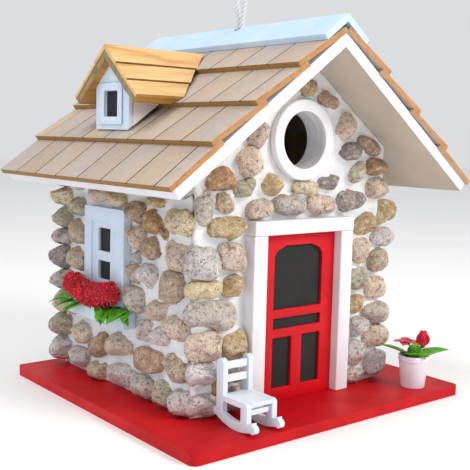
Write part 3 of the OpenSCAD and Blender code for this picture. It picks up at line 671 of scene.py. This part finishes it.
def lapped_side(face):
    """Number of the look: pine faces, painted shade in a darker amber on the undersides, or
    painted shade in near-black brown on the laps.
    """
    if abs(face.normal.y) > 0.9:
        return 2
    return 1 if face.normal.z < -0.3 else 0


def make_dormer():
    """Pale blue front and window, painted cheeks, and varnished boards on the roof."""
    refine("dormer_front", ["blue"], 0.8)
    refine("dormer_window_frame", ["blue"], 0.7)
    for side in ("left", "right"):
        refine("dormer_%s_cheek" % side, ["cheek"], 0.2)
        refine("dormer_%s_roof" % side, ["pine", "amber_shade", "end"], 0.3,
               dormer_side)
    refine("dormer_boards", ["pine", "amber_shade", "lap"], 0.12, lapped_side)


def make_chair():
    for node in ("chair_left_side", "chair_right_side", "chair_seat", "chair_rails"):
        refine(node, ["chair"], 0.45)


# ---- stones and mortar

# Colours of the cobbles by letter: main colour and the colour that clouds it
STONES = {
    "w": ((0.62, 0.60, 0.60), (0.42, 0.38, 0.40)),
    "p": ((0.55, 0.41, 0.33), (0.66, 0.54, 0.44)),
    "y": ((0.60, 0.48, 0.28), (0.66, 0.58, 0.42)),
    "o": ((0.42, 0.28, 0.13), (0.55, 0.42, 0.24)),
    "g": ((0.40, 0.36, 0.33), (0.52, 0.46, 0.42)),
    "t": ((0.50, 0.38, 0.27), (0.38, 0.30, 0.22)),
    "b": ((0.36, 0.22, 0.14), (0.46, 0.32, 0.22)),
    "d": ((0.20, 0.18, 0.18), (0.32, 0.27, 0.26)),
    "e": ((0.34, 0.33, 0.24), (0.46, 0.42, 0.32)),
    "l": ((0.46, 0.41, 0.42), (0.58, 0.52, 0.50)),
    "r": ((0.48, 0.24, 0.09), (0.36, 0.20, 0.10)),
}


def listed(text):
    """(letter, place across, height) of each cobble in the text."""
    rows = [row.split() for row in text.split(",")]
    return [(letter, int(u), int(z)) for letter, u, z in rows]


# Colour letters of the seen cobbles by place on their wall, in millimetres
FRONT_COLOURS = listed(
    "w -67 88, p -48 91, y -66 74, o -47 75, g -61 60, p -65 44, o -46 43, w -67 30, r -55 23,"
    "l -66 12, o -52 105, g -67 117, t -54 119, r -58 132, e -41 127, p -38 141, p -32 154,"
    "e -24 170, o -23 127, p -31 115, g -9 117, y 4 126, o 3 182, b 19 176, p 34 161, b 53 150,"
    "d 38 147, e 45 135, r 60 138, p 62 125, d 22 129, p 16 116, d 40 119, o 70 111, o 53 103,"
    "w 69 95, p 50 88, t 66 81, e 49 71, p 64 64, o 48 55, g 66 49, l 50 41, p 66 33, l 49 25,"
    "l 68 16, g 50 11, g -46 13, l -46 28")
LEFT_COLOURS = listed(
    "p 2 97, b 1 110, r 19 107, o 19 117, y 42 109, b 30 101, b 17 92, p 40 91, t 36 74, w 14 77,"
    "t 0 76, l 2 86, g 1 61, p 22 59, p 41 53, l 26 46, l 11 46, b 15 29, t 42 31, p -15 32,"
    "l -13 15, g 12 14, e 31 14, l 46 13, b -38 27, t -39 11, l -62 15, p -61 31, t -65 76,"
    "g -65 61, t -64 93, l -78 87, e -78 104, e -64 109")

# Each wall: the directions across it and outward, and the colours of its seen cobbles
WALLS = {
    "front": (Vector((1, 0, 0)), Vector((0, -1, 0)), FRONT_COLOURS),
    "left": (Vector((0, -1, 0)), Vector((-1, 0, 0)), LEFT_COLOURS),
    "right": (Vector((0, 1, 0)), Vector((1, 0, 0)), []),
    "rear": (Vector((-1, 0, 0)), Vector((0, 1, 0)), []),
}
UNSEEN_COLOURS = list("wppyoggttbdelllr")  # drawn from where no cobble is listed
SAME_COBBLE = 8  # a listed colour goes to cobbles within this distance
LIGHTER = (1.08, 1.34)
RAYS = 48  # directions in which an outline's reach is kept
HARMONICS = 7  # waves kept of an outline
GROWTH, GROW_STEP = 1.21, 0.03  # the most that a cobble is widened, and by what steps
TRIM_GAP = 0.4
BULGE = 1.35  # depth of cobbles, against their CAD solids
CORNER_BULGE, CORNER_U = 1.9, -78  # and in the column at the left wall's rear corner


def islands(node):
    """The separate solids of a node, each as an array of its points in millimetres."""
    bm = bmesh.new()
    bm.from_mesh(NODES[node].data)
    bmesh.ops.remove_doubles(bm, verts=bm.verts, dist=WELD)
    left = set(bm.verts)
    found = []
    while left:
        todo = [left.pop()]
        group = []
        while todo:
            vert = todo.pop()
            group.append(vert.co / MM)
            for edge in vert.link_edges:
                other = edge.other_vert(vert)
                if other in left:
                    left.remove(other)
                    todo.append(other)
        found.append(np.array(group))
    bm.free()
    return sorted(found, key=lambda g: tuple(np.round(g.mean(0), 2)))


def span(node, way):
    """Where a node's box starts and ends along a direction, in millimetres."""
    return sorted(corner.dot(way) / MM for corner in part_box(node))


def outline_of(points):
    """Centre and smoothed reach of a flat outline in RAYS directions."""
    centre = (points.max(0) + points.min(0)) / 2
    angle = all_round(RAYS)
    ways = np.stack([np.cos(angle), np.sin(angle)], 1)
    support = ((points - centre) @ ways.T).max(0)
    reach = np.array([min(support[k] / max(0.05, float(ways[k] @ way))
                          for k in range(RAYS) if ways[k] @ way > 0.1) for way in ways])
    wave = np.fft.rfft(reach)
    wave[HARMONICS:] = 0
    return centre, np.fft.irfft(wave, RAYS)


def keep_outs(wall):
    """Flat boxes on a wall, (u0, u1, z0, z1) in millimetres, that no cobble may cover."""
    across = WALLS[wall][0]
    nodes = {"front": ["door_header", "door_left_jamb", "door_right_jamb"],
             "left": ["window_frame", "window_box"], "rear": ["cleanout_panel"]}.get(wall, [])
    found = []
    for node in nodes:
        (u0, u1), (z0, z1) = span(node, across), span(node, UP)
        found.append((u0 - TRIM_GAP, u1 + TRIM_GAP, z0 - TRIM_GAP, z1 + TRIM_GAP))
    return found


def grow(wall, outlines):
    """Widens every outline until it meets trim or a neighbour, as fitted cobbles do."""
    blocks = keep_outs(wall)
    floor_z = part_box("base_board")[1].z / MM
    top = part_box(wall + "_mortar")[1].z / MM
    slope = math.tan(PITCH) if wall in ("front", "rear") else 0
    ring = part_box("entrance_ring")
    eye, ring_r = entrance_height() / MM, (ring[1].z - ring[0].z) / 2 / MM + 0.5
    turns = all_round(RAYS)
    scales = np.arange(1 + GROW_STEP, GROWTH + 0.01, GROW_STEP)
    grown = []
    for me, (centre, reach) in enumerate(outlines):
        far = reach[:, None] * scales
        u = centre[0] + far * np.cos(turns)[:, None]
        z = centre[1] + far * np.sin(turns)[:, None]
        stop = (z < floor_z) | (z > top - slope * np.abs(u))
        for u0, u1, z0, z1 in blocks:
            stop |= (u > u0) & (u < u1) & (z > z0) & (z < z1)
        if wall == "front":
            stop |= np.hypot(u, z - eye) < ring_r
        for k, (other, span) in enumerate(outlines):
            if k != me:
                du, dz = u - other[0], z - other[1]
                way = (np.arctan2(dz, du) % (math.tau)) / (math.tau) * RAYS
                stop |= np.hypot(du, dz) < span[way.astype(int) % RAYS] * (scales - 0.04)
        open_steps = np.argmax(np.hstack([stop, np.ones((RAYS, 1), bool)]), axis=1)
        wider = reach * np.append(1.0, scales)[open_steps]
        soft = (np.roll(wider, 1) + 2 * wider + np.roll(wider, -1)) / 4
        grown.append((centre, np.minimum(soft, wider * 1.02)))
    return grown


def reach_at(angle, reach):
    """An outline's reach in any direction."""
    return np.interp(angle, np.linspace(0, math.tau, RAYS + 1), np.append(reach, reach[0]))


def ball(detail):
    """Points and faces of a unit ball."""
    bm = bmesh.new()
    bmesh.ops.create_icosphere(bm, subdivisions=detail, radius=1)
    points = np.array([v.co for v in bm.verts])
    faces = np.array([[v.index for v in f.verts] for f in bm.faces])
    bm.free()
    return points, faces


BALL, BALL_FACES = ball(4)


def waves(points, rng, size, count=7):
    """Smooth noise from -1 to 1 with features of about that size."""
    total = np.zeros(len(points))
    for _ in range(count):
        way = rng.normal(size=3)
        way *= math.tau / size / np.linalg.norm(way) * rng.uniform(0.6, 1.4)
        total += np.sin(points @ way + rng.uniform(0, 7))
    return total / count ** 0.5 / 1.6


def cobble(reach, depth, rng):
    """One cobble on a flat face, bulging outward: a pillow with broken flats and soft lumps."""
    across = np.hypot(BALL[:, 0], BALL[:, 1])
    angle = np.arctan2(BALL[:, 1], BALL[:, 0]) % (math.tau)
    rise = np.clip(BALL[:, 2], -1, 1)
    full = across ** np.where(rise > 0, 0.72, 0.5)
    shape = np.stack([full * np.cos(angle), full * np.sin(angle),
                      np.where(rise > 0, np.abs(rise) ** 0.9, -np.abs(rise) * 0.3)], 1)
    for _ in range(rng.integers(5, 9)):
        turn = rng.uniform(0, math.tau)
        way = np.array([math.cos(turn), math.sin(turn), rng.uniform(0.3, 1.8)])
        way /= np.linalg.norm(way)
        height = shape @ way
        limit = height.max() * rng.uniform(0.72, 0.92)
        shape -= np.clip(height - limit, 0, None)[:, None] * 0.9 * way
    far = reach_at(angle, reach)
    placed = shape * np.stack([far, far, np.full(len(far), depth)], 1)
    size = reach.mean()
    lump = (0.05 * size * waves(placed, rng, 1.3 * size) + 0.16 * waves(placed, rng, 3.2)
            + 0.07 * waves(placed, rng, 1.3))
    out = BALL / np.linalg.norm(BALL, axis=1)[:, None]
    return placed + lump[:, None] * out


def tone_of(wall, u, z, rng):
    """Colour pair of a stone: the nearest listed one, or any on the unseen faces."""
    known = WALLS[wall][2]
    letter = rng.choice(UNSEEN_COLOURS)
    if known:
        near = min(known, key=lambda c: (c[1] - u) ** 2 + (c[2] - z) ** 2)
        if (near[1] - u) ** 2 + (near[2] - z) ** 2 < SAME_COBBLE ** 2:
            letter = near[0]
    main, stain = STONES[str(letter)]
    light = rng.uniform(*LIGHTER)
    return [c * light for c in main], [c * light for c in stain]


def make_stones(wall, rng):
    """All cobbles of a wall in one piece, and their outlines for the mortar."""
    across, outward, _ = WALLS[wall]
    plane = span(wall + "_mortar", outward)[1]
    points, faces, mains, stains = [], [], [], []
    groups = islands(wall + "_stones")
    outlines = grow(wall, [outline_of(np.stack([g @ np.array(across), g[:, 2]], 1))
                           for g in groups])
    for group, (centre, reach) in zip(groups, outlines):
        depth = (group @ np.array(outward)).max() - plane
        at_corner = wall == "left" and centre[0] < CORNER_U
        local = cobble(reach, depth * (CORNER_BULGE if at_corner else BULGE), rng)
        placed = (np.outer(local[:, 0] + centre[0], across) + np.outer(local[:, 1] + centre[1], UP)
                  + np.outer(local[:, 2] + plane, outward))
        faces.append(BALL_FACES + sum(len(p) for p in points))
        points.append(placed)
        main, stain = tone_of(wall, centre[0], centre[1], rng)
        mains.append(np.tile([*main, 1], (len(placed), 1)))
        stains.append(np.tile([*stain, 1], (len(placed), 1)))
    mesh = mesh_from(wall + "_cobbles", np.vstack(points) * MM, np.vstack(faces))
    for layer, rows in (("stone", mains), ("stain", stains)):
        store = mesh.attributes.new(layer, "FLOAT_COLOR", "POINT")
        store.data.foreach_set("color", np.vstack(rows).reshape(-1))
    face_outward(mesh)
    add_piece(mesh, ["stone"], [wall + "_stones"])
    return outlines


GRID = 1.25  # spacing of the mortar's points
FILLET, FILLET_RISE = 2.4, 2.0  # width and height of the climb at a cobble
FILLET_START = 0.94  # share of the cobble's reach where it is full
SINK, THINNER = 0.5, 0.7  # the coat's face and thickness, against the CAD solid
WAVES = ((0.30, 9), (0.14, 3.2))  # height and size of the trowelled waves
CORNER_ROUND, CORNER_DROP = 2.6, 1.6
LAP = 1.6  # the coat runs this far under the door's frame
RING_LAP_R = 19  # and in to this radius under the ring
PANEL_GAP = 0.5


def make_mortar(wall, outlines, rng):
    """The mortar coat: a wavy skin that climbs a little at every stone, cut round the openings."""
    across, outward, _ = WALLS[wall]
    (start, end), (inner, plane), (base, top) = (span(wall + "_mortar", way)
                                                 for way in (across, outward, UP))
    columns = int((end - start) / GRID)
    us = np.linspace(start, end, columns + 1)
    slope = math.tan(PITCH) if wall in ("front", "rear") else 0
    rows = int((top - base) / GRID)
    share = np.linspace(0, 1, rows + 1)
    grid_u = np.repeat(us[:, None], rows + 1, 1)
    grid_z = np.array([[base + s * (top - abs(u) * slope - base) for s in share] for u in us])
    rise = np.zeros_like(grid_u)
    for centre, reach in outlines:
        du, dz = grid_u - centre[0], grid_z - centre[1]
        gap = np.hypot(du, dz)
        angle = np.arctan2(dz, du) % (math.tau)
        edge = reach_at(angle, reach)
        climb = np.clip(1 - (gap - edge * FILLET_START) / FILLET, 0, 1) ** 2 * FILLET_RISE
        rise = np.maximum(rise, climb)
    flat = np.stack([grid_u.ravel(), grid_z.ravel(), np.zeros(grid_u.size)], 1)
    rise += sum(tall * waves(flat, rng, size) for tall, size in WAVES).reshape(rise.shape)
    corner = np.minimum(grid_u - start, end - grid_u)
    rise -= CORNER_DROP * np.clip(1 - corner / CORNER_ROUND, 0, 1) ** 2
    points = (grid_u[..., None] * np.array(across) + grid_z[..., None] * np.array(UP)
              + (plane - SINK + rise)[..., None] * np.array(outward))
    holes = []
    if wall == "front":
        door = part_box("door_header")
        holes.append(lambda u, z: abs(u) < door[1].x / MM - LAP and z < door[1].z / MM - LAP)
        eye = entrance_height() / MM
        holes.append(lambda u, z: math.hypot(u, z - eye) < RING_LAP_R)
    if wall == "rear":
        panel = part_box("cleanout_panel")
        holes.append(lambda u, z: abs(u) < panel[1].x / MM + PANEL_GAP
                     and panel[0].z / MM - PANEL_GAP < z < panel[1].z / MM + PANEL_GAP)
    faces = []
    for i in range(columns):
        for j in range(rows):
            u = (us[i] + us[i + 1]) / 2
            z = (grid_z[i, j] + grid_z[i + 1, j + 1]) / 2
            if not any(hole(u, z) for hole in holes):
                a = i * (rows + 1) + j
                faces.append((a, a + rows + 1, a + rows + 2, a + 1))
    mesh = mesh_from(wall + "_mortar_coat", points.reshape(-1, 3) * MM, faces)
    bm = bmesh.new()
    bm.from_mesh(mesh)
    bmesh.ops.delete(bm, geom=[v for v in bm.verts if not v.link_faces], context="VERTS")
    bm.to_mesh(mesh)
    bm.free()
    piece = add_piece(mesh, ["mortar"], [wall + "_mortar"])
    skin = piece.modifiers.new("coat", "SOLIDIFY")
    skin.thickness = (plane - inner - THINNER) * MM
    skin.offset = -1    # grows inward


LINER_R = (16.15, 20.5)
LINER_GAP = 0.05


def bore_liner():
    """Smooth mortar lining of the entrance, between the ring and the plywood."""
    eye = Vector((0, 0, entrance_height()))
    steps = 72
    inner, outer = (r * MM for r in LINER_R)
    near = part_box("entrance_ring")[1].y + LINER_GAP * MM
    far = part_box("front_wall")[0].y - LINER_GAP * MM
    rings = [(inner, near), (outer, near), (outer, far), (inner, far)]
    count = len(rings)
    points = [eye + Vector((r * math.cos(a), y, r * math.sin(a)))
              for r, y in rings for a in all_round(steps)]
    faces = [(k * steps + i, k * steps + (i + 1) % steps,
              (k + 1) % count * steps + (i + 1) % steps, (k + 1) % count * steps + i)
             for k in range(count) for i in range(steps)]
    mesh = mesh_from("bore_liner", points, faces, False)
    add_piece(mesh, ["mortar"], [])


# ---- plants

def blade(length, width, droop, fold=0.25, thick=0.35, rows=14, cols=6):
    """A leaf along +X: pointed, folded on its midrib, bending down by droop. Closed."""
    top = []
    for i in range(rows + 1):
        s = i / rows
        half = width / 2 * math.sin(math.pi * min(1, s ** 0.8)) ** 0.8 + 0.12
        for j in range(-cols // 2, cols // 2 + 1):
            t = 2 * j / cols
            z = fold * half * abs(t) - droop * s ** 2 + 0.15 * math.sin(9 * s) * abs(t)
            top.append((length * s, half * t, z))
    wide = cols + 1
    count = len(top)
    points = top + [(x, y, z - thick) for x, y, z in top]
    faces = []
    for i in range(rows):
        for j in range(cols):
            a = i * wide + j
            faces.append((a, a + wide, a + wide + 1, a + 1))
            faces.append((a + count, a + 1 + count, a + wide + 1 + count, a + wide + count))
    rim = (list(range(wide)) + [i * wide + cols for i in range(1, rows + 1)]
           + [rows * wide + j for j in range(cols - 1, -1, -1)]
           + [i * wide for i in range(rows - 1, 0, -1)])
    for a, b in zip(rim, rim[1:] + rim[:1]):
        faces.append((a, b, b + count, a + count))
    return np.array(points), faces


def join_parts(name, parts):
    """One mesh from (points in mm, faces) pairs."""
    points, faces, start = [], [], 0
    for part_points, part_faces in parts:
        points.append(np.asarray(part_points))
        faces += [tuple(start + i for i in face) for face in part_faces]
        start += len(part_points)
    mesh = mesh_from(name, np.vstack(points) * MM, faces)
    face_outward(mesh)
    return mesh


def aim(points, at, turn, lift, roll=0.0):
    """Turns a part made along +X, in degrees: roll about it, lift its tip, turn about Z. Then
    moves it."""
    move = (Matrix.Rotation(math.radians(turn), 3, "Z")
            @ Matrix.Rotation(-math.radians(lift), 3, "Y")
            @ Matrix.Rotation(math.radians(roll), 3, "X"))
    return np.asarray(points) @ np.array(move).T + np.array(at)


def stem(points, radius=0.55, sides=8):
    """A closed round stalk along a smooth path."""
    path = smooth_path(points, 6)
    angle = all_round(sides)
    ahead = np.gradient(path, axis=0)
    ahead /= np.linalg.norm(ahead, axis=1)[:, None]
    side = np.cross(ahead, [0.3, 1, 0.1])
    side /= np.linalg.norm(side, axis=1)[:, None]
    other = np.cross(ahead, side)
    rings = (path[:, None] + radius * (np.cos(angle)[None, :, None] * side[:, None]
                                       + np.sin(angle)[None, :, None] * other[:, None]))
    last = (len(path) - 1) * sides
    ends = [tuple(range(sides)), tuple(last + j for j in range(sides - 1, -1, -1))]
    return rings.reshape(-1, 3), tube_faces(len(path), sides) + ends


TOWARD = -45  # the pot's broad leaves lie along this direction
# The pot's leaves: turn from it, length, width, lift and droop
POT_LEAVES = ((0, 21, 11, 34, 6), (180, 21, 12, 36, 5), (75, 13, 9, 48, 3), (-110, 13, 9, 40, 3),
              (-60, 11, 7, 30, 3))
LEAF_ROLL = 8
BUD_OUT, BUD_UP = 5.0, 7.8  # places from the middle of the soil
BLOOM_OUT, BLOOM_UP = -4.6, 9.4
BUD_RINGS = ((0, 9.4), (1, 8.4))  # number and petal length
BUD_PETALS, BLOOM_PETALS = 5, 7


def make_pot():
    """Turned pot, moss, two broad leaves and three small ones, an open flower and a bud."""
    refine("flower_pot", ["pot"], 0.3)
    refine("pot_soil", ["moss"], 0.2)
    low, high = box_mm("flower_pot")
    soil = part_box("pot_soil")[1].z / MM
    middle = np.array([(low[0] + high[0]) / 2, (low[1] + high[1]) / 2, soil])
    leaves = []
    for turn, length, width, lift, droop in POT_LEAVES:
        points, faces = blade(length, width, droop)
        at = middle + [0, 0, -0.5]
        leaves.append((aim(points, at, TOWARD + turn, lift, LEAF_ROLL), faces))
    add_piece(join_parts("pot_leaf_tuft", leaves), ["leaf"], ["pot_leaves"])
    right = np.array([math.cos(math.radians(TOWARD)), math.sin(math.radians(TOWARD)), 0])
    bud_at = middle + right * BUD_OUT + [0, 0, BUD_UP]
    bloom_at = middle + right * BLOOM_OUT + [0, 0, BLOOM_UP]
    petals = []
    for ring, size in BUD_RINGS:
        for k in range(BUD_PETALS):
            points, faces = blade(size, 8.0, -2.8, 0.5, 0.4, 12, 8)
            turn = 360 / BUD_PETALS * (k + ring / 2)
            petals.append((aim(points, bud_at, turn, 62 + 8 * ring), faces))
    for k in range(BLOOM_PETALS):
        points, faces = blade(8.2, 6.0, 1.6, 0.2, 0.45, 10, 6)
        at = bloom_at + [0, 0, 0.3 * (k % 2)]
        petals.append((aim(points, at, 360 * k / BLOOM_PETALS, 14 + 6 * (k % 2)), faces))
    for at in (bud_at, bloom_at):
        petals.append((BALL * [1.5, 1.5, 1.2] + at, BALL_FACES))
    add_piece(join_parts("pot_blooms", petals), ["bud"], ["pot_flowers"])
    stems = [stem([middle + [0, 0, -1], middle + right * 1.5 + [0, 0, 4], at])
             for at in (bud_at, bloom_at)]
    add_piece(join_parts("pot_stems", stems), ["leaf"], [])


WINDOW_LEAVES = 26
LEAF_MARGIN, BLOOM_MARGIN = 3, 6  # from the end of a row to its last leaf or bloom
LEAF_OUT, LEAF_BACK = 9.0, 5.2  # leaves are pressed in from the front and off the back
WINDOW_BLOOMS = 7
BLOOM_TUFTS = 230  # small petals drawn for each bloom
BLOOM_BACK = 0.55  # those that point further than this to the wall are left out


def make_window_plants(rng):
    """Fuzzy crimson blooms over bright leaves, in a row that is lowest in its middle."""
    low, high = box_mm("window_box")
    front = low[0]
    leaves = []
    rim = high[2]
    middle = (low[1] + high[1]) / 2
    for k in range(WINDOW_LEAVES):
        y = (low[1] + LEAF_MARGIN
             + (high[1] - low[1] - 2 * LEAF_MARGIN) * (k + 0.5) / WINDOW_LEAVES)
        lean = 90 if y > middle else -90
        points, faces = blade(rng.uniform(15, 22), rng.uniform(7, 10), rng.uniform(7, 13))
        turn = 180 - lean * rng.uniform(0.2, 0.85)
        at = [front + rng.uniform(2, 8), y, rim - rng.uniform(0, 2)]
        leaves.append((aim(points, at, turn, rng.uniform(6, 26), rng.uniform(-20, 20)), faces))
    for points, _ in leaves:
        pressed = front - LEAF_OUT + 0.15 * (points[:, 0] - front)
        points[:, 0] = np.maximum(points[:, 0], pressed)
        points[:, 0] = np.minimum(points[:, 0], high[0] - LEAF_BACK)
    add_piece(join_parts("window_leaf_row", leaves), ["leaf"], ["window_leaves"])
    lo, hi = box_mm("window_flowers")
    blooms = []
    for k in range(WINDOW_BLOOMS):
        s = k / (WINDOW_BLOOMS - 1)
        outer = abs(2 * s - 1) ** 1.5
        row = hi[1] - lo[1] - 2 * BLOOM_MARGIN
        centre = np.array([lo[0] + 5.6, lo[1] + BLOOM_MARGIN + row * s,
                           (lo[2] + hi[2]) / 2 - 2.6 + 4.2 * outer])
        size = 7.4 - 0.8 * outer
        blooms.append((BALL * size * 0.72 + centre, BALL_FACES))
        for _ in range(BLOOM_TUFTS):
            way = rng.normal(size=3)
            way /= np.linalg.norm(way)
            if way[0] > BLOOM_BACK:
                continue
            points, faces = blade(size * rng.uniform(0.36, 0.52), rng.uniform(1.0, 1.7), 0.4, 0.3,
                                  0.22, 3, 2)
            turn = math.degrees(math.atan2(way[1], way[0]))
            lift = math.degrees(math.asin(way[2]))
            at = centre + way * size * 0.62
            blooms.append((aim(points, at, turn, lift, rng.uniform(0, 180)), faces))
    add_piece(join_parts("window_bloom_row", blooms), ["petal"], ["window_flowers"])


# ---- stage

HOUSE_MIDDLE = Vector((0, 0, 0.11))


def area_light(name, at, size, power, colour):
    """A square lamp that points at the house. Place and size in metres, power in watts."""
    data = bpy.data.lights.new(name, "AREA")
    data.size = size
    data.energy = power
    data.color = colour
    lamp = new_object(name, data)
    lamp.location = at
    lamp.rotation_euler = (HOUSE_MIDDLE - Vector(at)).to_track_quat("-Z", "Y").to_euler()


def make_stage():
    """Pale studio floor, sky light and three lamps."""
    far = 4
    mesh = mesh_from("floor", [(-far, -far, 0), (far, -far, 0), (far, far, 0), (-far, far, 0)],
                     [(0, 1, 2, 3)])
    floor = new_object("floor", mesh)
    look = Look("floor", 0.9, 0.1)
    look.colour(look.ramp(look.noise(look.place(), 6, 3, 0.5), [(0.3, (0.90, 0.90, 0.90)),
                                                                 (0.7, (0.93, 0.93, 0.93))]))
    mesh.materials.append(look.material)
    world = bpy.data.worlds.new("studio")
    world.use_nodes = True
    sky = world.node_tree.nodes["Background"].inputs
    sky["Color"].default_value = (0.97, 0.98, 1.0, 1)
    sky["Strength"].default_value = 0.74
    bpy.context.scene.world = world
    bpy.context.scene.view_settings.view_transform = "Standard"
    area_light("key", (0.45, -0.95, 0.75), 0.45, 8.5, (1.0, 0.97, 0.92))
    area_light("left_fill", (-1.1, -0.1, 0.45), 0.6, 1.6, (0.84, 0.91, 1.0))
    area_light("top", (-0.5, 0.0, 1.2), 0.5, 4.5, (1.0, 0.98, 0.96))


# ---- build

make_camera()
make_rope()
make_boards()
make_roof_boards()
make_shingles()
make_dormer()
make_chair()
RNG = np.random.default_rng(11)
for wall_name in WALLS:
    make_mortar(wall_name, make_stones(wall_name, RNG), RNG)
bore_liner()
make_pot()
make_window_plants(RNG)
make_stage()
